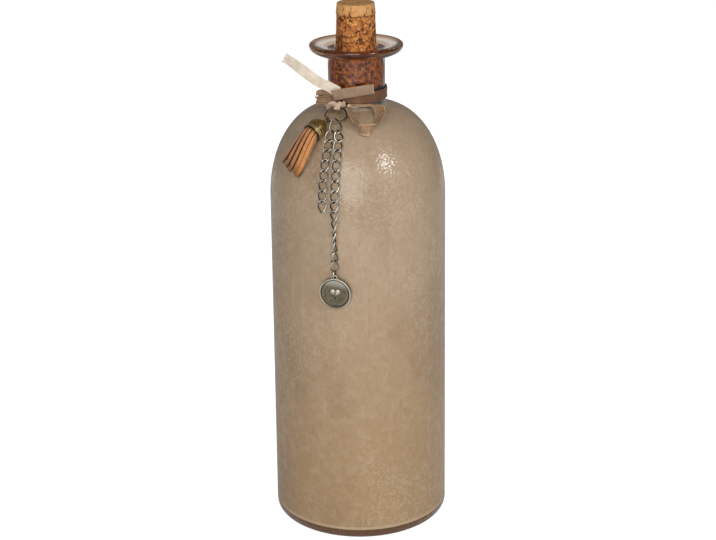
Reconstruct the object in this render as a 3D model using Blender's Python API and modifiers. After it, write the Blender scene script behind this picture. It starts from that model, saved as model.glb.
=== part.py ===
"""Decorative glass bottle with a cork, a ribbon tie, a suede tassel and a chain with a round charm.

Metres, +Z up. The origin is the middle of the base, on the bottle's axis. The front, where the
trim hangs, is -Y, and an azimuth turns from there towards +X. Places on the outside of the
glass are given as an azimuth and an arc, which runs down the glass from the foot of the neck.
"""

import math

import bmesh
import bpy
import numpy as np
from mathutils import Matrix, Vector

MM = 0.001

# General clearances and facets
SEAT_GAP = 0.3 * MM  # between a piece and what it rests on
OVERRUN = 1.0 * MM  # how far a cutter or a joined boss runs on
WELD = 0.01 * MM
TURN_STEPS = 40
SMALL_TURN_STEPS = 24
GLASS_SAMPLES = 600
SHARP_ANGLE = 40.0
SEARCH_STEPS = 40
SWING_STEP = 1.0  # degrees, in the search for the angle at which a piece rests on the glass
SWING_LIMIT = 90.0

# Bottle body
BODY_RADIUS = 50.0 * MM  # at the heel
MOULD_DRAFT = 0.9 * MM  # how much slimmer it is where the shoulder starts
SHOULDER_RADIUS = BODY_RADIUS - MOULD_DRAFT
SHOULDER_START = 193.0 * MM
SHOULDER_RISE = 50.5 * MM
WALL = 4.0 * MM
HEEL_RADIUS = 4.5 * MM
INNER_HEEL_RADIUS = 7.0 * MM
FLOOR_HEIGHT = 8.5 * MM
BEARING_RADIUS = 38.0 * MM  # the flat ring that the bottle stands on starts here
PUSH_UP = 3.5 * MM  # how far the middle of the base is hollowed

# Bottle neck and lip
NECK_FOOT = SHOULDER_START + SHOULDER_RISE
NECK_LENGTH = 34.5 * MM  # with the lip
GLASS_HEIGHT = NECK_FOOT + NECK_LENGTH
NECK_RADIUS = 15.65 * MM
NECK_FOOT_FILLET = 2.6 * MM
BORE_RADIUS = 11.5 * MM
LIP_RADIUS = 25.7 * MM
LIP_DEPTH = 6.3 * MM
LIP_EDGE_RADIUS = 1.4 * MM
LIP_FILLET = 0.9 * MM
LIP_DISH = 2.0 * MM
MOUTH_ROUND = 1.1 * MM
MOUTH_HEIGHT = GLASS_HEIGHT - LIP_DISH

# The degrees at which the arcs of its outline start or end, and the points along them
LIP_EDGE_ANGLES = (105, 15)
UNDER_LIP_ANGLE = -78
LIP_FILLET_ANGLE = 110
NECK_FILLET_ANGLE = 262
SHOULDER_ANGLE = 82
SMALL_ARC_STEPS = 4
CORNER_STEPS = 6
LONG_ARC_STEPS = 10
SHOULDER_STEPS = 15

# Cork
CORK_RISE = 22.0 * MM  # above the lip
CORK_DEPTH = 22.5 * MM  # below the mouth
CORK_TOP = GLASS_HEIGHT + CORK_RISE
CORK_END = MOUTH_HEIGHT - CORK_DEPTH
CORK_DISC_HEIGHT = 6.3 * MM
CORK_CLEARANCE = 0.3 * MM  # to the bore
CORK_TAPER = 0.9 * MM  # how much slimmer its top is than its part in the mouth
CORK_FOOT_TAPER = 0.3 * MM
CORK_CHAMFER = 0.6 * MM

# Ribbon
RIBBON_WIDTH = 6.0 * MM
RIBBON_THICKNESS = 0.4 * MM
BAND_RISE = 4.3 * MM  # above the neck's foot
BAND_FOOT = NECK_FOOT + BAND_RISE
BAND_WAVES = 5
BAND_WAVE = 0.35 * MM
KNOT_AZIMUTH = -55.0
KNOT_TURN = -12.0  # the azimuth that the knot's long side faces
KNOT_STANDOFF = 4.2 * MM  # from the band's outside to the knot's middle
KNOT_RISE = 6.9 * MM  # from the neck's foot to the knot's middle
KNOT_ACROSS = 4.6 * MM
KNOT_DEEP = 2.7 * MM
KNOT_TALL = 4.2 * MM
KNOT_PLEATS = 7
KNOT_ROWS = 9
KNOT_PLEAT_POINTS = 4
KNOT_PLEAT_SHARE = 0.14
KNOT_FAN_SHARE = 0.28
LEFT_TAIL_LENGTH = 33.0 * MM
LEFT_TAIL_RISE = 33.0  # degrees above the horizontal
LEFT_TAIL_ROOT_SHARE = 0.78  # of the knot's half height, above its middle
LEFT_TAIL_START_SHARE = 1 / 3  # of the ribbon's width, beyond the knot's right-hand end
LEFT_TAIL_BACK_SHARE = 0.15  # how far it leans back, as a share of its length
LEFT_TAIL_SAG = 0.2 * MM
LEFT_TAIL_POINTS = 11
RIGHT_TAIL_LENGTH = 22.8 * MM
RIGHT_TAIL_RISE = 7.0
RIGHT_TAIL_BACK_SHARE = 0.06
RIGHT_TAIL_ROOT_SHARE = 0.65  # of the knot's half height, above its middle
RIGHT_TAIL_FORWARD = 6.5 * MM  # how far it passes in front of the knot's middle
RIGHT_TAIL_START = 3.3 * MM  # how far in front of it the tail leaves the knot
RIGHT_TAIL_DROP = 1.0 * MM  # how much lower it leaves the knot
RIGHT_TAIL_EASE_SHARE = 0.3
RIGHT_TAIL_CURL = 0.7 * MM
RIGHT_TAIL_POINTS = 9
RIGHT_TAIL_COLUMNS = 4
BOW_WIDTH = 16.5 * MM
BOW_LENGTH = 20.0 * MM
BOW_AZIMUTH = 10.0
BOW_STEPS = 3  # from one of its shares to the next
# Across from the bow's middle, and down from the neck's foot
BOW_SHARES = [
    (-0.45, 0.10),
    (-0.20, 0.095),
    (0.05, 0.095),
    (0.28, 0.13),
    (0.45, 0.24),
    (0.50, 0.42),
    (0.43, 0.64),
    (0.24, 0.86),
    (0.00, 1.00),
    (-0.22, 0.97),
    (-0.33, 0.80),
    (-0.38, 0.60),
    (-0.43, 0.42),
    (-0.50, 0.25),
]

# Hanging ring and the loop of ribbon that it is threaded on
RING_WIRE = 0.9 * MM
RING_RADIUS = 5.9 * MM  # of the wire's centreline
RING_STEPS = 28
RING_TOP_AZIMUTH = -29.0
RING_TOP_STANDOFF = 6.35 * MM  # how far its top is off the neck
RING_TOP_RADIUS = NECK_RADIUS + RING_TOP_STANDOFF
RING_FOOT_AZIMUTH = -21.8
RING_FOOT_ARC = 15.6 * MM
KEEPER_WIDTH = 3.2 * MM
KEEPER_SLACK = 0.75 * MM
KEEPER_POINTS = 21

# Tassel
TASSEL_SEAT = 52.0  # degrees round the ring from its lowest point
TASSEL_LEAN = 14.0  # degrees that it points round from straight down the glass
EYE_WIRE = 0.8 * MM
EYE_RADIUS = 1.6 * MM
EYE_STEPS = 16
CAP_RADIUS = 5.2 * MM
CAP_LENGTH = 9.9 * MM
CAP_CROWN = 5.3 * MM
CAP_WALL = 0.8 * MM
CAP_GROOVE_DEPTH = 0.35 * MM
CAP_GROOVE_WIDTH = 0.7 * MM
CAP_GROOVE_SLOPE_SHARE = 0.25
CAP_GROOVE_PITCH = 1.05 * MM
CAP_GROOVES = 2
CAP_RIM = 0.9 * MM
CAP_REST_SHARES = (0.0, 0.5, 1.0)  # the heights of its wall that may rest on the glass
STRIP_COUNT = 9
STRIP_WIDTH = 2.7 * MM
STRIP_ROOT_WIDTH = 2.0 * MM
STRIP_THICKNESS = 1.0 * MM
STRIP_LENGTH = 21.5 * MM  # outside the cap
STRIP_TIP_RAGGED_SHARE = 0.06
STRIP_TIP_PHASE = 2.4  # radians from one strip's tip to the next one's
STRIP_POINTS = 9
FRINGE_CORE_STEPS = 18
FRINGE_SPREAD = 6.6 * MM
FRINGE_DEPTH = 2.1 * MM
FRINGE_LEAN = 28.0  # degrees that the fringe points round from straight down the glass
FRINGE_BEND_SHARE = 0.35  # how far down it the fringe still follows the cap

# Chain
CHAIN_WIRE = 0.9 * MM
LINK_LENGTH = 7.65 * MM
LINK_WIDTH = 5.6 * MM
LINK_TWIST = 90.0
LINK_SQUARE_SHARE = 0.75  # one is an ellipse, and less is squarer
LINK_GAP = 0.35 * MM  # between the wires of two hooked links
TOP_LINK_SLACK = 0.2 * MM  # more, where two strands share a link
LINK_POINTS = 16
TOP_LINK_LENGTH = 9.2 * MM
TOP_LINK_WIDTH = 7.4 * MM
TOP_LINK_AZIMUTH = -19.6
TOP_LINK_ROLL = -30.0
TOP_LINK_SQUARE_SHARE = 0.4
LONG_STRAND_LINKS = 14
LONG_STRAND_AZIMUTH = -14.6
LONG_STRAND_EASE_SHARE = 0.15
LONG_STRAND_TURN = 135.0
LONG_STRAND_TURN_LINKS = (7.0, 14.0)  # the links between which it turns
SHORT_STRAND_LINKS = 8
SHORT_STRAND_AZIMUTH = -22.6
SHORT_STRAND_EASE_SHARE = 0.0
START_ROLL = -45.0
START_ROLL_LINKS = 4.0
UPPER_STRAND_LINKS = 7  # the long strand bends again after these

# Charm
CHARM_RADIUS = 8.9 * MM
CHARM_THICKNESS = 1.6 * MM
CHARM_RIM_WIDTH = 1.1 * MM
CHARM_RECESS = 0.35 * MM
LUG_RADIUS = 1.9 * MM
LUG_THICKNESS = 1.2 * MM
LUG_HOLE_RADIUS = 1.05 * MM
LUG_RISE = 0.4 * MM  # from the disc's edge to the middle of the lug's hole
LUG_STEPS = 20
LUG_HOLE_STEPS = 16
CHARM_EDGE_ANGLE = 60
CHARM_RING_RADIUS = 2.4 * MM
CHARM_RING_WIRE = 0.7 * MM
CHARM_RING_STEPS = 14


def arc(centre, radii, start, end, count):
    """Points of an elliptical arc, from start to end degrees."""
    angles = np.radians(np.linspace(start, end, count))
    return [(centre[0] + radii[0] * math.cos(a), centre[1] + radii[1] * math.sin(a)) for a in angles]


def material(name, colour, roughness, metallic=0.0, transmission=0.0):
    made = bpy.data.materials.new(name)
    made.use_nodes = True
    made.diffuse_color = (*colour, 1.0)
    shader = made.node_tree.nodes["Principled BSDF"]
    shader.inputs["Base Color"].default_value = (*colour, 1.0)
    shader.inputs["Roughness"].default_value = roughness
    shader.inputs["Metallic"].default_value = metallic
    shader.inputs["Transmission Weight"].default_value = transmission
    return made


class Assembly:
    """The parts' collection, the cutters' collection and the empties that moving parts hang on."""

    def __init__(self, name):
        self.parts = bpy.data.collections.new(name)
        self.cutters = bpy.data.collections.new(name + "_cutters")
        bpy.context.scene.collection.children.link(self.parts)
        bpy.context.scene.collection.children.link(self.cutters)

    def pivot(self, name, place, parent=None):
        empty = bpy.data.objects.new(name, None)
        empty.empty_display_size = CAP_RADIUS
        empty["place"] = tuple(place)
        self.parts.objects.link(empty)
        self.hang(empty, place, parent)
        return empty

    def hang(self, thing, place, parent):
        """Sets a thing at a place in the world, under its parent empty."""
        thing.location = Vector(place) - (Vector(parent["place"]) if parent else Vector())
        thing.parent = parent

    def part(self, name, data, finish, parent=None):
        made = bpy.data.objects.new(name, data)
        made.data.materials.append(finish)
        self.parts.objects.link(made)
        self.hang(made, (0.0, 0.0, 0.0), parent)
        return made

    def cutter(self, name, data):
        made = bpy.data.objects.new(name, data)
        made.hide_render = True
        made.display_type = "WIRE"
        self.cutters.objects.link(made)
        return made


def shade_round(mesh):
    mesh.shade_smooth()
    mesh.set_sharp_from_angle(angle=math.radians(SHARP_ANGLE))


def turned_mesh(name, outline, steps, matrix=None):
    """A closed solid turned from a profile that starts and ends on the axis or closes on itself."""
    profile = bpy.data.meshes.new(name)
    edges = [(i, i + 1) for i in range(len(outline) - 1)]
    profile.from_pydata([(r, 0.0, z) for r, z in outline], edges, [])
    holder = bpy.data.objects.new(name, profile)
    bpy.context.scene.collection.objects.link(holder)
    screw = holder.modifiers.new("turn", "SCREW")
    screw.axis = "Z"
    screw.steps = steps
    screw.render_steps = steps
    screw.use_merge_vertices = True
    screw.merge_threshold = WELD
    weld = holder.modifiers.new("poles", "WELD")
    weld.merge_threshold = WELD
    mesh = evaluated_mesh(holder)
    if matrix is not None:
        mesh.transform(matrix)
    shade_round(mesh)
    return mesh


def evaluated_mesh(holder):
    """The finished mesh of a helper object, which is then removed."""
    bpy.context.view_layer.update()
    depsgraph = bpy.context.evaluated_depsgraph_get()
    mesh = bpy.data.meshes.new_from_object(holder.evaluated_get(depsgraph))
    mesh.name = holder.name
    mesh.transform(holder.matrix_world)
    bpy.data.objects.remove(holder)
    return mesh


def wire_curve(name, points, wire, resolution=1):
    """A closed ring or link of round wire along a list of points."""
    curve = bpy.data.curves.new(name, "CURVE")
    curve.dimensions = "3D"
    curve.bevel_depth = wire / 2
    curve.bevel_resolution = resolution
    curve.use_fill_caps = True
    spline = curve.splines.new("POLY")
    spline.points.add(len(points) - 1)
    for place, point in zip(spline.points, points):
        place.co = (*point, 1.0)
    spline.use_cyclic_u = True
    spline.use_smooth = True
    return curve


def strip_mesh(name, centres, sides, widths, thickness, columns=2, lift=None):
    """A ribbon or strap that follows its centres, as wide as its widths along its side vectors."""
    closed = (centres[0] - centres[-1]).length < WELD
    mesh = bpy.data.meshes.new(name)
    bm = bmesh.new()
    bmesh.ops.create_grid(bm, x_segments=len(centres) - 1, y_segments=columns, size=1.0)
    for vertex in bm.verts:
        row = round((vertex.co.x + 1) / 2 * (len(centres) - 1))
        share = vertex.co.y / 2
        place = centres[row] + sides[row] * (widths[row] * share)
        if lift:
            place = place + lift(row, share)
        vertex.co = place
    if closed:
        bmesh.ops.remove_doubles(bm, verts=bm.verts, dist=WELD)
    bm.to_mesh(mesh)
    bm.free()
    holder = bpy.data.objects.new(name, mesh)
    bpy.context.scene.collection.objects.link(holder)
    solidify = holder.modifiers.new("thickness", "SOLIDIFY")
    solidify.thickness = thickness
    solidify.offset = 0.0
    made = evaluated_mesh(holder)
    recalculate = bmesh.new()
    recalculate.from_mesh(made)
    bmesh.ops.recalc_face_normals(recalculate, faces=recalculate.faces)
    recalculate.to_mesh(made)
    recalculate.free()
    shade_round(made)
    return made


def smooth_path(points, steps):
    """A Catmull-Rom curve through the points, with so many steps from one to the next."""
    ends = [2 * points[0] - points[1], *points, 2 * points[-1] - points[-2]]
    path = []
    for a, b, c, d in zip(ends, ends[1:], ends[2:], ends[3:]):
        for t in np.linspace(0, 1, steps, endpoint=False):
            path.append(0.5 * (2 * b + (c - a) * t + (2 * a - 5 * b + 4 * c - d) * t**2
                               + (3 * b - a - 3 * c + d) * t**3))
    path.append(points[-1])
    return path


# The outside of the glass, as a meridian that runs down from the neck's foot


def radial(azimuth):
    a = math.radians(azimuth)
    return Vector((math.sin(a), -math.cos(a), 0.0))


def sideways(azimuth):
    a = math.radians(azimuth)
    return Vector((math.cos(a), math.sin(a), 0.0))


UP = Vector((0.0, 0.0, 1.0))
FRONT = Vector((0.0, -1.0, 0.0))


def meridian():
    reach = (SHOULDER_RADIUS - NECK_RADIUS, SHOULDER_RISE)
    points = arc((NECK_RADIUS, SHOULDER_START), reach, 90, 0, GLASS_SAMPLES)
    for share in np.linspace(0, 1, GLASS_SAMPLES)[1:]:
        radius = SHOULDER_RADIUS + (BODY_RADIUS - SHOULDER_RADIUS) * share
        points.append((radius, SHOULDER_START * (1 - share)))
    points = np.array(points)
    lengths = np.concatenate([[0], np.cumsum(np.hypot(*np.diff(points, axis=0).T))])
    return points, lengths


GLASS_POINTS, GLASS_ARCS = meridian()


def glass_frame(azimuth, arc_length):
    """The point of the glass at an azimuth and arc, its outward normal and the way down it."""
    step = GLASS_ARCS[-1] / GLASS_SAMPLES

    def at(length):
        return Vector([np.interp(length, GLASS_ARCS, column) for column in GLASS_POINTS.T])

    here = at(arc_length)
    slope = (at(arc_length + step) - at(max(arc_length - step, 0.0))).normalized()
    out = radial(azimuth)
    point = out * here.x + UP * here.y
    down = out * slope.x + UP * slope.y
    normal = out * -slope.y + UP * slope.x
    return point, normal, down


def off_glass(azimuth, arc_length, standoff):
    point, normal, _ = glass_frame(azimuth, arc_length)
    return point + normal * standoff


def place_on_glass(point):
    """The azimuth and arc of the glass nearest a point."""
    gaps = np.hypot(GLASS_POINTS[:, 0] - point.xy.length, GLASS_POINTS[:, 1] - point.z)
    azimuth = math.degrees(math.atan2(point.x, -point.y))
    return azimuth, float(GLASS_ARCS[int(np.argmin(gaps))])


def way_down(azimuth, arc_length, lean):
    """The direction down the glass, turned so many degrees towards -X."""
    _, normal, down = glass_frame(azimuth, arc_length)
    return Matrix.Rotation(math.radians(-lean), 3, normal) @ down


def glass_distance(point):
    """How far a point is off the shoulder and body, and less than zero inside them."""
    flat = np.array((math.hypot(point.x, point.y), point.z))
    start, run = GLASS_POINTS[:-1], np.diff(GLASS_POINTS, axis=0)
    share = np.clip(((flat - start) * run).sum(axis=1) / (run**2).sum(axis=1), 0, 1)
    distance = float(np.hypot(*(start + run * share[:, None] - flat).T).min())
    inside = flat[0] < np.interp(point.z, GLASS_POINTS[::-1, 1], GLASS_POINTS[::-1, 0])
    return -distance if inside and point.z < GLASS_POINTS[0, 1] else distance


def rest_on_glass(points, pivot, axis, gap):
    """The angle about a hinge at which a hanging piece comes to rest on the glass, from outside."""

    def clearance(angle):
        turn = Matrix.Rotation(angle, 3, axis)
        return min(glass_distance(pivot + turn @ (p - pivot)) for p in points)

    step, limit = math.radians(SWING_STEP), math.radians(SWING_LIMIT)
    outer = 0.0
    while clearance(outer) < gap and outer < limit:
        outer += step
    inner = outer - step
    while clearance(inner) >= gap and inner > -limit:
        outer = inner
        inner -= step
    for _ in range(SEARCH_STEPS):
        middle = (inner + outer) / 2
        if clearance(middle) < gap:
            inner = middle
        else:
            outer = middle
    return outer


# Bottle


def bottle_outline():
    """From the middle of the floor up the inside, over the lip and down the outside."""
    edge = GLASS_HEIGHT - LIP_EDGE_RADIUS
    inner_radius = BODY_RADIUS - WALL
    inner_shoulder = SHOULDER_RADIUS - WALL - BORE_RADIUS
    outline = [(0.0, FLOOR_HEIGHT)]
    inner_heel = (INNER_HEEL_RADIUS, INNER_HEEL_RADIUS)
    heel_centre = (inner_radius - INNER_HEEL_RADIUS, FLOOR_HEIGHT + INNER_HEEL_RADIUS)
    outline += arc(heel_centre, inner_heel, -90, 0, CORNER_STEPS)
    inner_reach = (inner_shoulder, SHOULDER_RISE - WALL)
    outline += arc((BORE_RADIUS, SHOULDER_START), inner_reach, 0, 90, LONG_ARC_STEPS)
    mouth_centre = (BORE_RADIUS + MOUTH_ROUND, MOUTH_HEIGHT - MOUTH_ROUND)
    outline += arc(mouth_centre, (MOUTH_ROUND, MOUTH_ROUND), 180, 90, SMALL_ARC_STEPS)
    edge_centre = (LIP_RADIUS - LIP_EDGE_RADIUS, edge)
    outline += arc(edge_centre, (LIP_EDGE_RADIUS, LIP_EDGE_RADIUS), *LIP_EDGE_ANGLES, SMALL_ARC_STEPS)
    under_centre = (NECK_RADIUS + LIP_FILLET, edge)
    under_reach = (LIP_RADIUS - under_centre[0], LIP_DEPTH - LIP_EDGE_RADIUS)
    outline += arc(under_centre, under_reach, 0, UNDER_LIP_ANGLE, CORNER_STEPS)
    fillet_centre = (NECK_RADIUS + LIP_FILLET, GLASS_HEIGHT - LIP_DEPTH - LIP_FILLET)
    lip_fillet = (LIP_FILLET, LIP_FILLET)
    outline += arc(fillet_centre, lip_fillet, LIP_FILLET_ANGLE, 180, SMALL_ARC_STEPS)
    share = NECK_FOOT_FILLET / (SHOULDER_RADIUS - NECK_RADIUS)
    foot = SHOULDER_START + SHOULDER_RISE * math.sqrt(1 - share**2) + NECK_FOOT_FILLET
    foot_centre = (NECK_RADIUS + NECK_FOOT_FILLET, foot)
    foot_fillet = (NECK_FOOT_FILLET, NECK_FOOT_FILLET)
    outline += arc(foot_centre, foot_fillet, 180, NECK_FILLET_ANGLE, SMALL_ARC_STEPS)
    shoulder = (SHOULDER_RADIUS - NECK_RADIUS, SHOULDER_RISE)
    outline += arc((NECK_RADIUS, SHOULDER_START), shoulder, SHOULDER_ANGLE, 0, SHOULDER_STEPS)
    heel_outside = (BODY_RADIUS - HEEL_RADIUS, HEEL_RADIUS)
    outline += arc(heel_outside, (HEEL_RADIUS, HEEL_RADIUS), 0, -90, CORNER_STEPS)
    outline += arc((0.0, 0.0), (BEARING_RADIUS, PUSH_UP), 0, 90, CORNER_STEPS)
    return outline


def build_bottle(kit):
    glass = material("frosted_glass", (0.43, 0.32, 0.22), 0.45, transmission=0.4)
    kit.part("bottle", turned_mesh("bottle", bottle_outline(), TURN_STEPS), glass)


# Cork


def build_cork(kit):
    fit_radius = BORE_RADIUS - CORK_CLEARANCE
    joint = CORK_TOP - CORK_DISC_HEIGHT
    top_radius = fit_radius - CORK_TAPER
    joint_share = (joint - MOUTH_HEIGHT) / (CORK_TOP - MOUTH_HEIGHT)
    joint_radius = fit_radius - CORK_TAPER * joint_share
    foot_radius = fit_radius - CORK_FOOT_TAPER
    lift = kit.pivot("cork_lift", (0.0, 0.0, MOUTH_HEIGHT))
    body = [
        (0.0, joint),
        (joint_radius, joint),
        (fit_radius, MOUTH_HEIGHT),
        (foot_radius, CORK_END + CORK_CHAMFER),
        (foot_radius - CORK_CHAMFER, CORK_END),
        (0.0, CORK_END),
    ]
    disc = [
        (0.0, CORK_TOP),
        (top_radius - CORK_CHAMFER, CORK_TOP),
        (top_radius, CORK_TOP - CORK_CHAMFER),
        (joint_radius, joint + SEAT_GAP),
        (0.0, joint + SEAT_GAP),
    ]
    granules = material("cork_granules", (0.45, 0.20, 0.08), 0.85)
    natural = material("natural_cork", (0.58, 0.33, 0.14), 0.8)
    kit.part("cork_body", turned_mesh("cork_body", body, TURN_STEPS), granules, lift)
    kit.part("cork_top_disc", turned_mesh("cork_top_disc", disc, TURN_STEPS), natural, lift)


# Ribbon


def band_radius():
    """The middle of the ribbon that goes round the neck."""
    return NECK_RADIUS + SEAT_GAP + BAND_WAVE + RIBBON_THICKNESS / 2


def knot_centre():
    band_outside = band_radius() + BAND_WAVE + RIBBON_THICKNESS / 2
    return radial(KNOT_AZIMUTH) * (band_outside + KNOT_STANDOFF) + UP * (NECK_FOOT + KNOT_RISE)


def build_band(kit, finish):
    count = TURN_STEPS
    centres, sides = [], []
    for i in range(count + 1):
        azimuth = 360 * (i % count) / count
        wave = BAND_WAVE * math.sin(math.radians(azimuth * BAND_WAVES))
        centres.append(radial(azimuth) * (band_radius() + wave) + UP * (BAND_FOOT + RIBBON_WIDTH / 2))
        sides.append(UP)
    widths = [RIBBON_WIDTH] * len(centres)
    mesh = strip_mesh("ribbon_neck_band", centres, sides, widths, RIBBON_THICKNESS)
    kit.part("ribbon_neck_band", mesh, finish)


def build_knot(kit, finish):
    """A gathered knot: a rounded lump whose pleats fan out from its right-hand end."""
    bm = bmesh.new()
    bmesh.ops.create_uvsphere(bm, u_segments=KNOT_PLEATS * KNOT_PLEAT_POINTS, v_segments=KNOT_ROWS,
                              radius=1.0)
    across, deep = sideways(KNOT_TURN), radial(KNOT_TURN)
    centre = knot_centre()
    for vertex in bm.verts:
        unit = vertex.co.copy()
        turn = math.atan2(unit.y, unit.x)
        girth = math.hypot(unit.x, unit.y)
        pleat = 1 + KNOT_PLEAT_SHARE * girth * (math.cos(turn * KNOT_PLEATS) - 1)
        fan = 1 - KNOT_FAN_SHARE * unit.z
        vertex.co = (centre + across * (unit.z * KNOT_ACROSS)
                     + deep * (unit.x * pleat * KNOT_DEEP * min(fan, 1.0))
                     + UP * (unit.y * pleat * fan * KNOT_TALL))
    bmesh.ops.recalc_face_normals(bm, faces=bm.faces)
    mesh = bpy.data.meshes.new("ribbon_knot")
    bm.to_mesh(mesh)
    bm.free()
    shade_round(mesh)
    kit.part("ribbon_knot", mesh, finish)


def build_left_tail(kit, finish):
    """The pale end, which stands up and out to the left from behind the knot."""
    rise = math.radians(LEFT_TAIL_RISE)
    run = Vector((-math.cos(rise), LEFT_TAIL_BACK_SHARE, math.sin(rise))).normalized()
    side = run.cross(FRONT).normalized()
    start = KNOT_ACROSS + RIBBON_WIDTH * LEFT_TAIL_START_SHARE
    reach = Vector((start, 0.0, KNOT_TALL * LEFT_TAIL_ROOT_SHARE))
    root = knot_centre() + reach + FRONT * KNOT_DEEP
    centres = []
    for share in np.linspace(0, 1, LEFT_TAIL_POINTS):
        bend = math.sin(math.pi * share)
        centres.append(root + run * (LEFT_TAIL_LENGTH * share) - side * (LEFT_TAIL_SAG * bend)
                       + FRONT * (LEFT_TAIL_SAG * math.sin(2 * math.pi * share)))
    widths = [RIBBON_WIDTH] * len(centres)
    mesh = strip_mesh("ribbon_left_tail", centres, [side] * len(centres), widths, RIBBON_THICKNESS)
    kit.part("ribbon_left_tail", mesh, finish)


def build_right_tail(kit, finish):
    """The darker end, which runs out of the knot across the front of the neck, slightly rolled."""
    run = Vector((1.0, RIGHT_TAIL_BACK_SHARE, math.tan(math.radians(RIGHT_TAIL_RISE)))).normalized()
    side = FRONT.cross(run).normalized()
    reach = Vector((KNOT_ACROSS - 2 * SEAT_GAP, 0.0, KNOT_TALL * RIGHT_TAIL_ROOT_SHARE))
    root = knot_centre() + reach
    centres = []
    for share in np.linspace(0, 1, RIGHT_TAIL_POINTS):
        behind = max(0.0, 1 - share / RIGHT_TAIL_EASE_SHARE) ** 2
        forward = RIGHT_TAIL_FORWARD - (RIGHT_TAIL_FORWARD - RIGHT_TAIL_START) * behind
        drop = RIGHT_TAIL_DROP * behind
        centres.append(root + run * (RIGHT_TAIL_LENGTH * share) + FRONT * forward - UP * drop)

    def roll(row, share):
        return FRONT * (RIGHT_TAIL_CURL * (1 - (2 * share) ** 2))

    widths = [RIBBON_WIDTH] * len(centres)
    mesh = strip_mesh("ribbon_right_tail", centres, [side] * len(centres), widths,
                      RIBBON_THICKNESS, RIGHT_TAIL_COLUMNS, roll)
    kit.part("ribbon_right_tail", mesh, finish)


def build_bow(kit, finish):
    """One loop of the bow, standing on its edge on the shoulder."""
    guides = []
    for across, down in BOW_SHARES:
        arc_length = BOW_LENGTH * down
        radius = glass_frame(0.0, arc_length)[0].xy.length
        azimuth = BOW_AZIMUTH + math.degrees(BOW_WIDTH * across / radius)
        guides.append(Vector((azimuth, arc_length, 0.0)))
    path = smooth_path(guides, BOW_STEPS)
    centres, sides = [], []
    for azimuth, arc_length, _ in path:
        _, normal, _ = glass_frame(azimuth, arc_length)
        sides.append(normal)
        centres.append(off_glass(azimuth, arc_length, RIBBON_WIDTH / 2 + 2 * SEAT_GAP))
    widths = [RIBBON_WIDTH] * len(centres)
    mesh = strip_mesh("ribbon_bow_loop", centres, sides, widths, RIBBON_THICKNESS)
    kit.part("ribbon_bow_loop", mesh, finish)


# Hanging ring


def ring_frame():
    """The ring's top, foot and middle, and the ways down and across it."""
    standoff = link_standoff(TOP_LINK_LENGTH, TOP_LINK_WIDTH, TOP_LINK_ROLL)
    foot = off_glass(RING_FOOT_AZIMUTH, RING_FOOT_ARC, standoff)
    level = radial(RING_TOP_AZIMUTH) * RING_TOP_RADIUS
    rise = math.sqrt((2 * RING_RADIUS) ** 2 - (foot - level).xy.length_squared)
    top = level + UP * (foot.z + rise)
    down = (foot - top).normalized()
    return top, foot, (top + foot) / 2, down, UP.cross(down).normalized()


def ring_point(angle):
    """A point of the ring's wire, so many degrees from its foot towards -X."""
    _, _, middle, down, across = ring_frame()
    a = math.radians(angle)
    return middle + (down * math.cos(a) - across * math.sin(a)) * RING_RADIUS


def circle_points(centre, first, second, radius, count):
    angles = [2 * math.pi * i / count for i in range(count)]
    return [centre + (first * math.cos(a) + second * math.sin(a)) * radius for a in angles]


def build_ring(kit, finish):
    top, _, middle, down, across = ring_frame()
    pivot = kit.pivot("ring_swing", top)
    points = circle_points(middle, down, across, RING_RADIUS, RING_STEPS)
    kit.part("hanging_ring", wire_curve("hanging_ring", points, RING_WIRE), finish, pivot)
    return pivot


def build_keeper(kit, finish):
    """The small gathered loop of ribbon that the ring is threaded on, against the neck band."""
    top, _, _, _, across = ring_frame()
    out = across.cross(UP).normalized()
    hole = RING_WIRE / 2 + KEEPER_SLACK + RIBBON_THICKNESS / 2
    band_outside = band_radius() + BAND_WAVE + RIBBON_THICKNESS / 2
    inner = -(RING_TOP_RADIUS - band_outside - SEAT_GAP - RIBBON_THICKNESS / 2)
    outer = hole
    centre = top + out * ((inner + outer) / 2)
    centres, sides = [], []
    for a in np.linspace(0, 2 * math.pi, KEEPER_POINTS):
        centres.append(centre + out * (math.cos(a) * (outer - inner) / 2) + UP * (math.sin(a) * hole))
        sides.append(across)
    centres[-1] = centres[0].copy()
    widths = [KEEPER_WIDTH] * len(centres)
    mesh = strip_mesh("ribbon_ring_keeper", centres, sides, widths, RIBBON_THICKNESS)
    kit.part("ribbon_ring_keeper", mesh, finish)


# Tassel


def cap_outline():
    """The cap's wall, turned about its own axis, with its crown up at zero and its rim below."""
    rim = -CAP_LENGTH
    inner = CAP_RADIUS - CAP_WALL
    groove = CAP_RADIUS - CAP_GROOVE_DEPTH
    crown = arc((0.0, -CAP_CROWN), (CAP_RADIUS, CAP_CROWN), 90, 0, CORNER_STEPS)
    outline = list(crown)
    bevel = CAP_GROOVE_WIDTH * CAP_GROOVE_SLOPE_SHARE
    for number in reversed(range(CAP_GROOVES)):
        edge = rim + CAP_RIM + number * CAP_GROOVE_PITCH
        top = edge + CAP_GROOVE_WIDTH
        outline += [(CAP_RADIUS, top), (groove, top - bevel), (groove, edge + bevel), (CAP_RADIUS, edge)]
    outline += [(CAP_RADIUS, rim), (inner, rim)]
    outline += arc((0.0, -CAP_CROWN), (inner, CAP_CROWN - CAP_WALL), 0, 90, CORNER_STEPS)
    return outline


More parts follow.
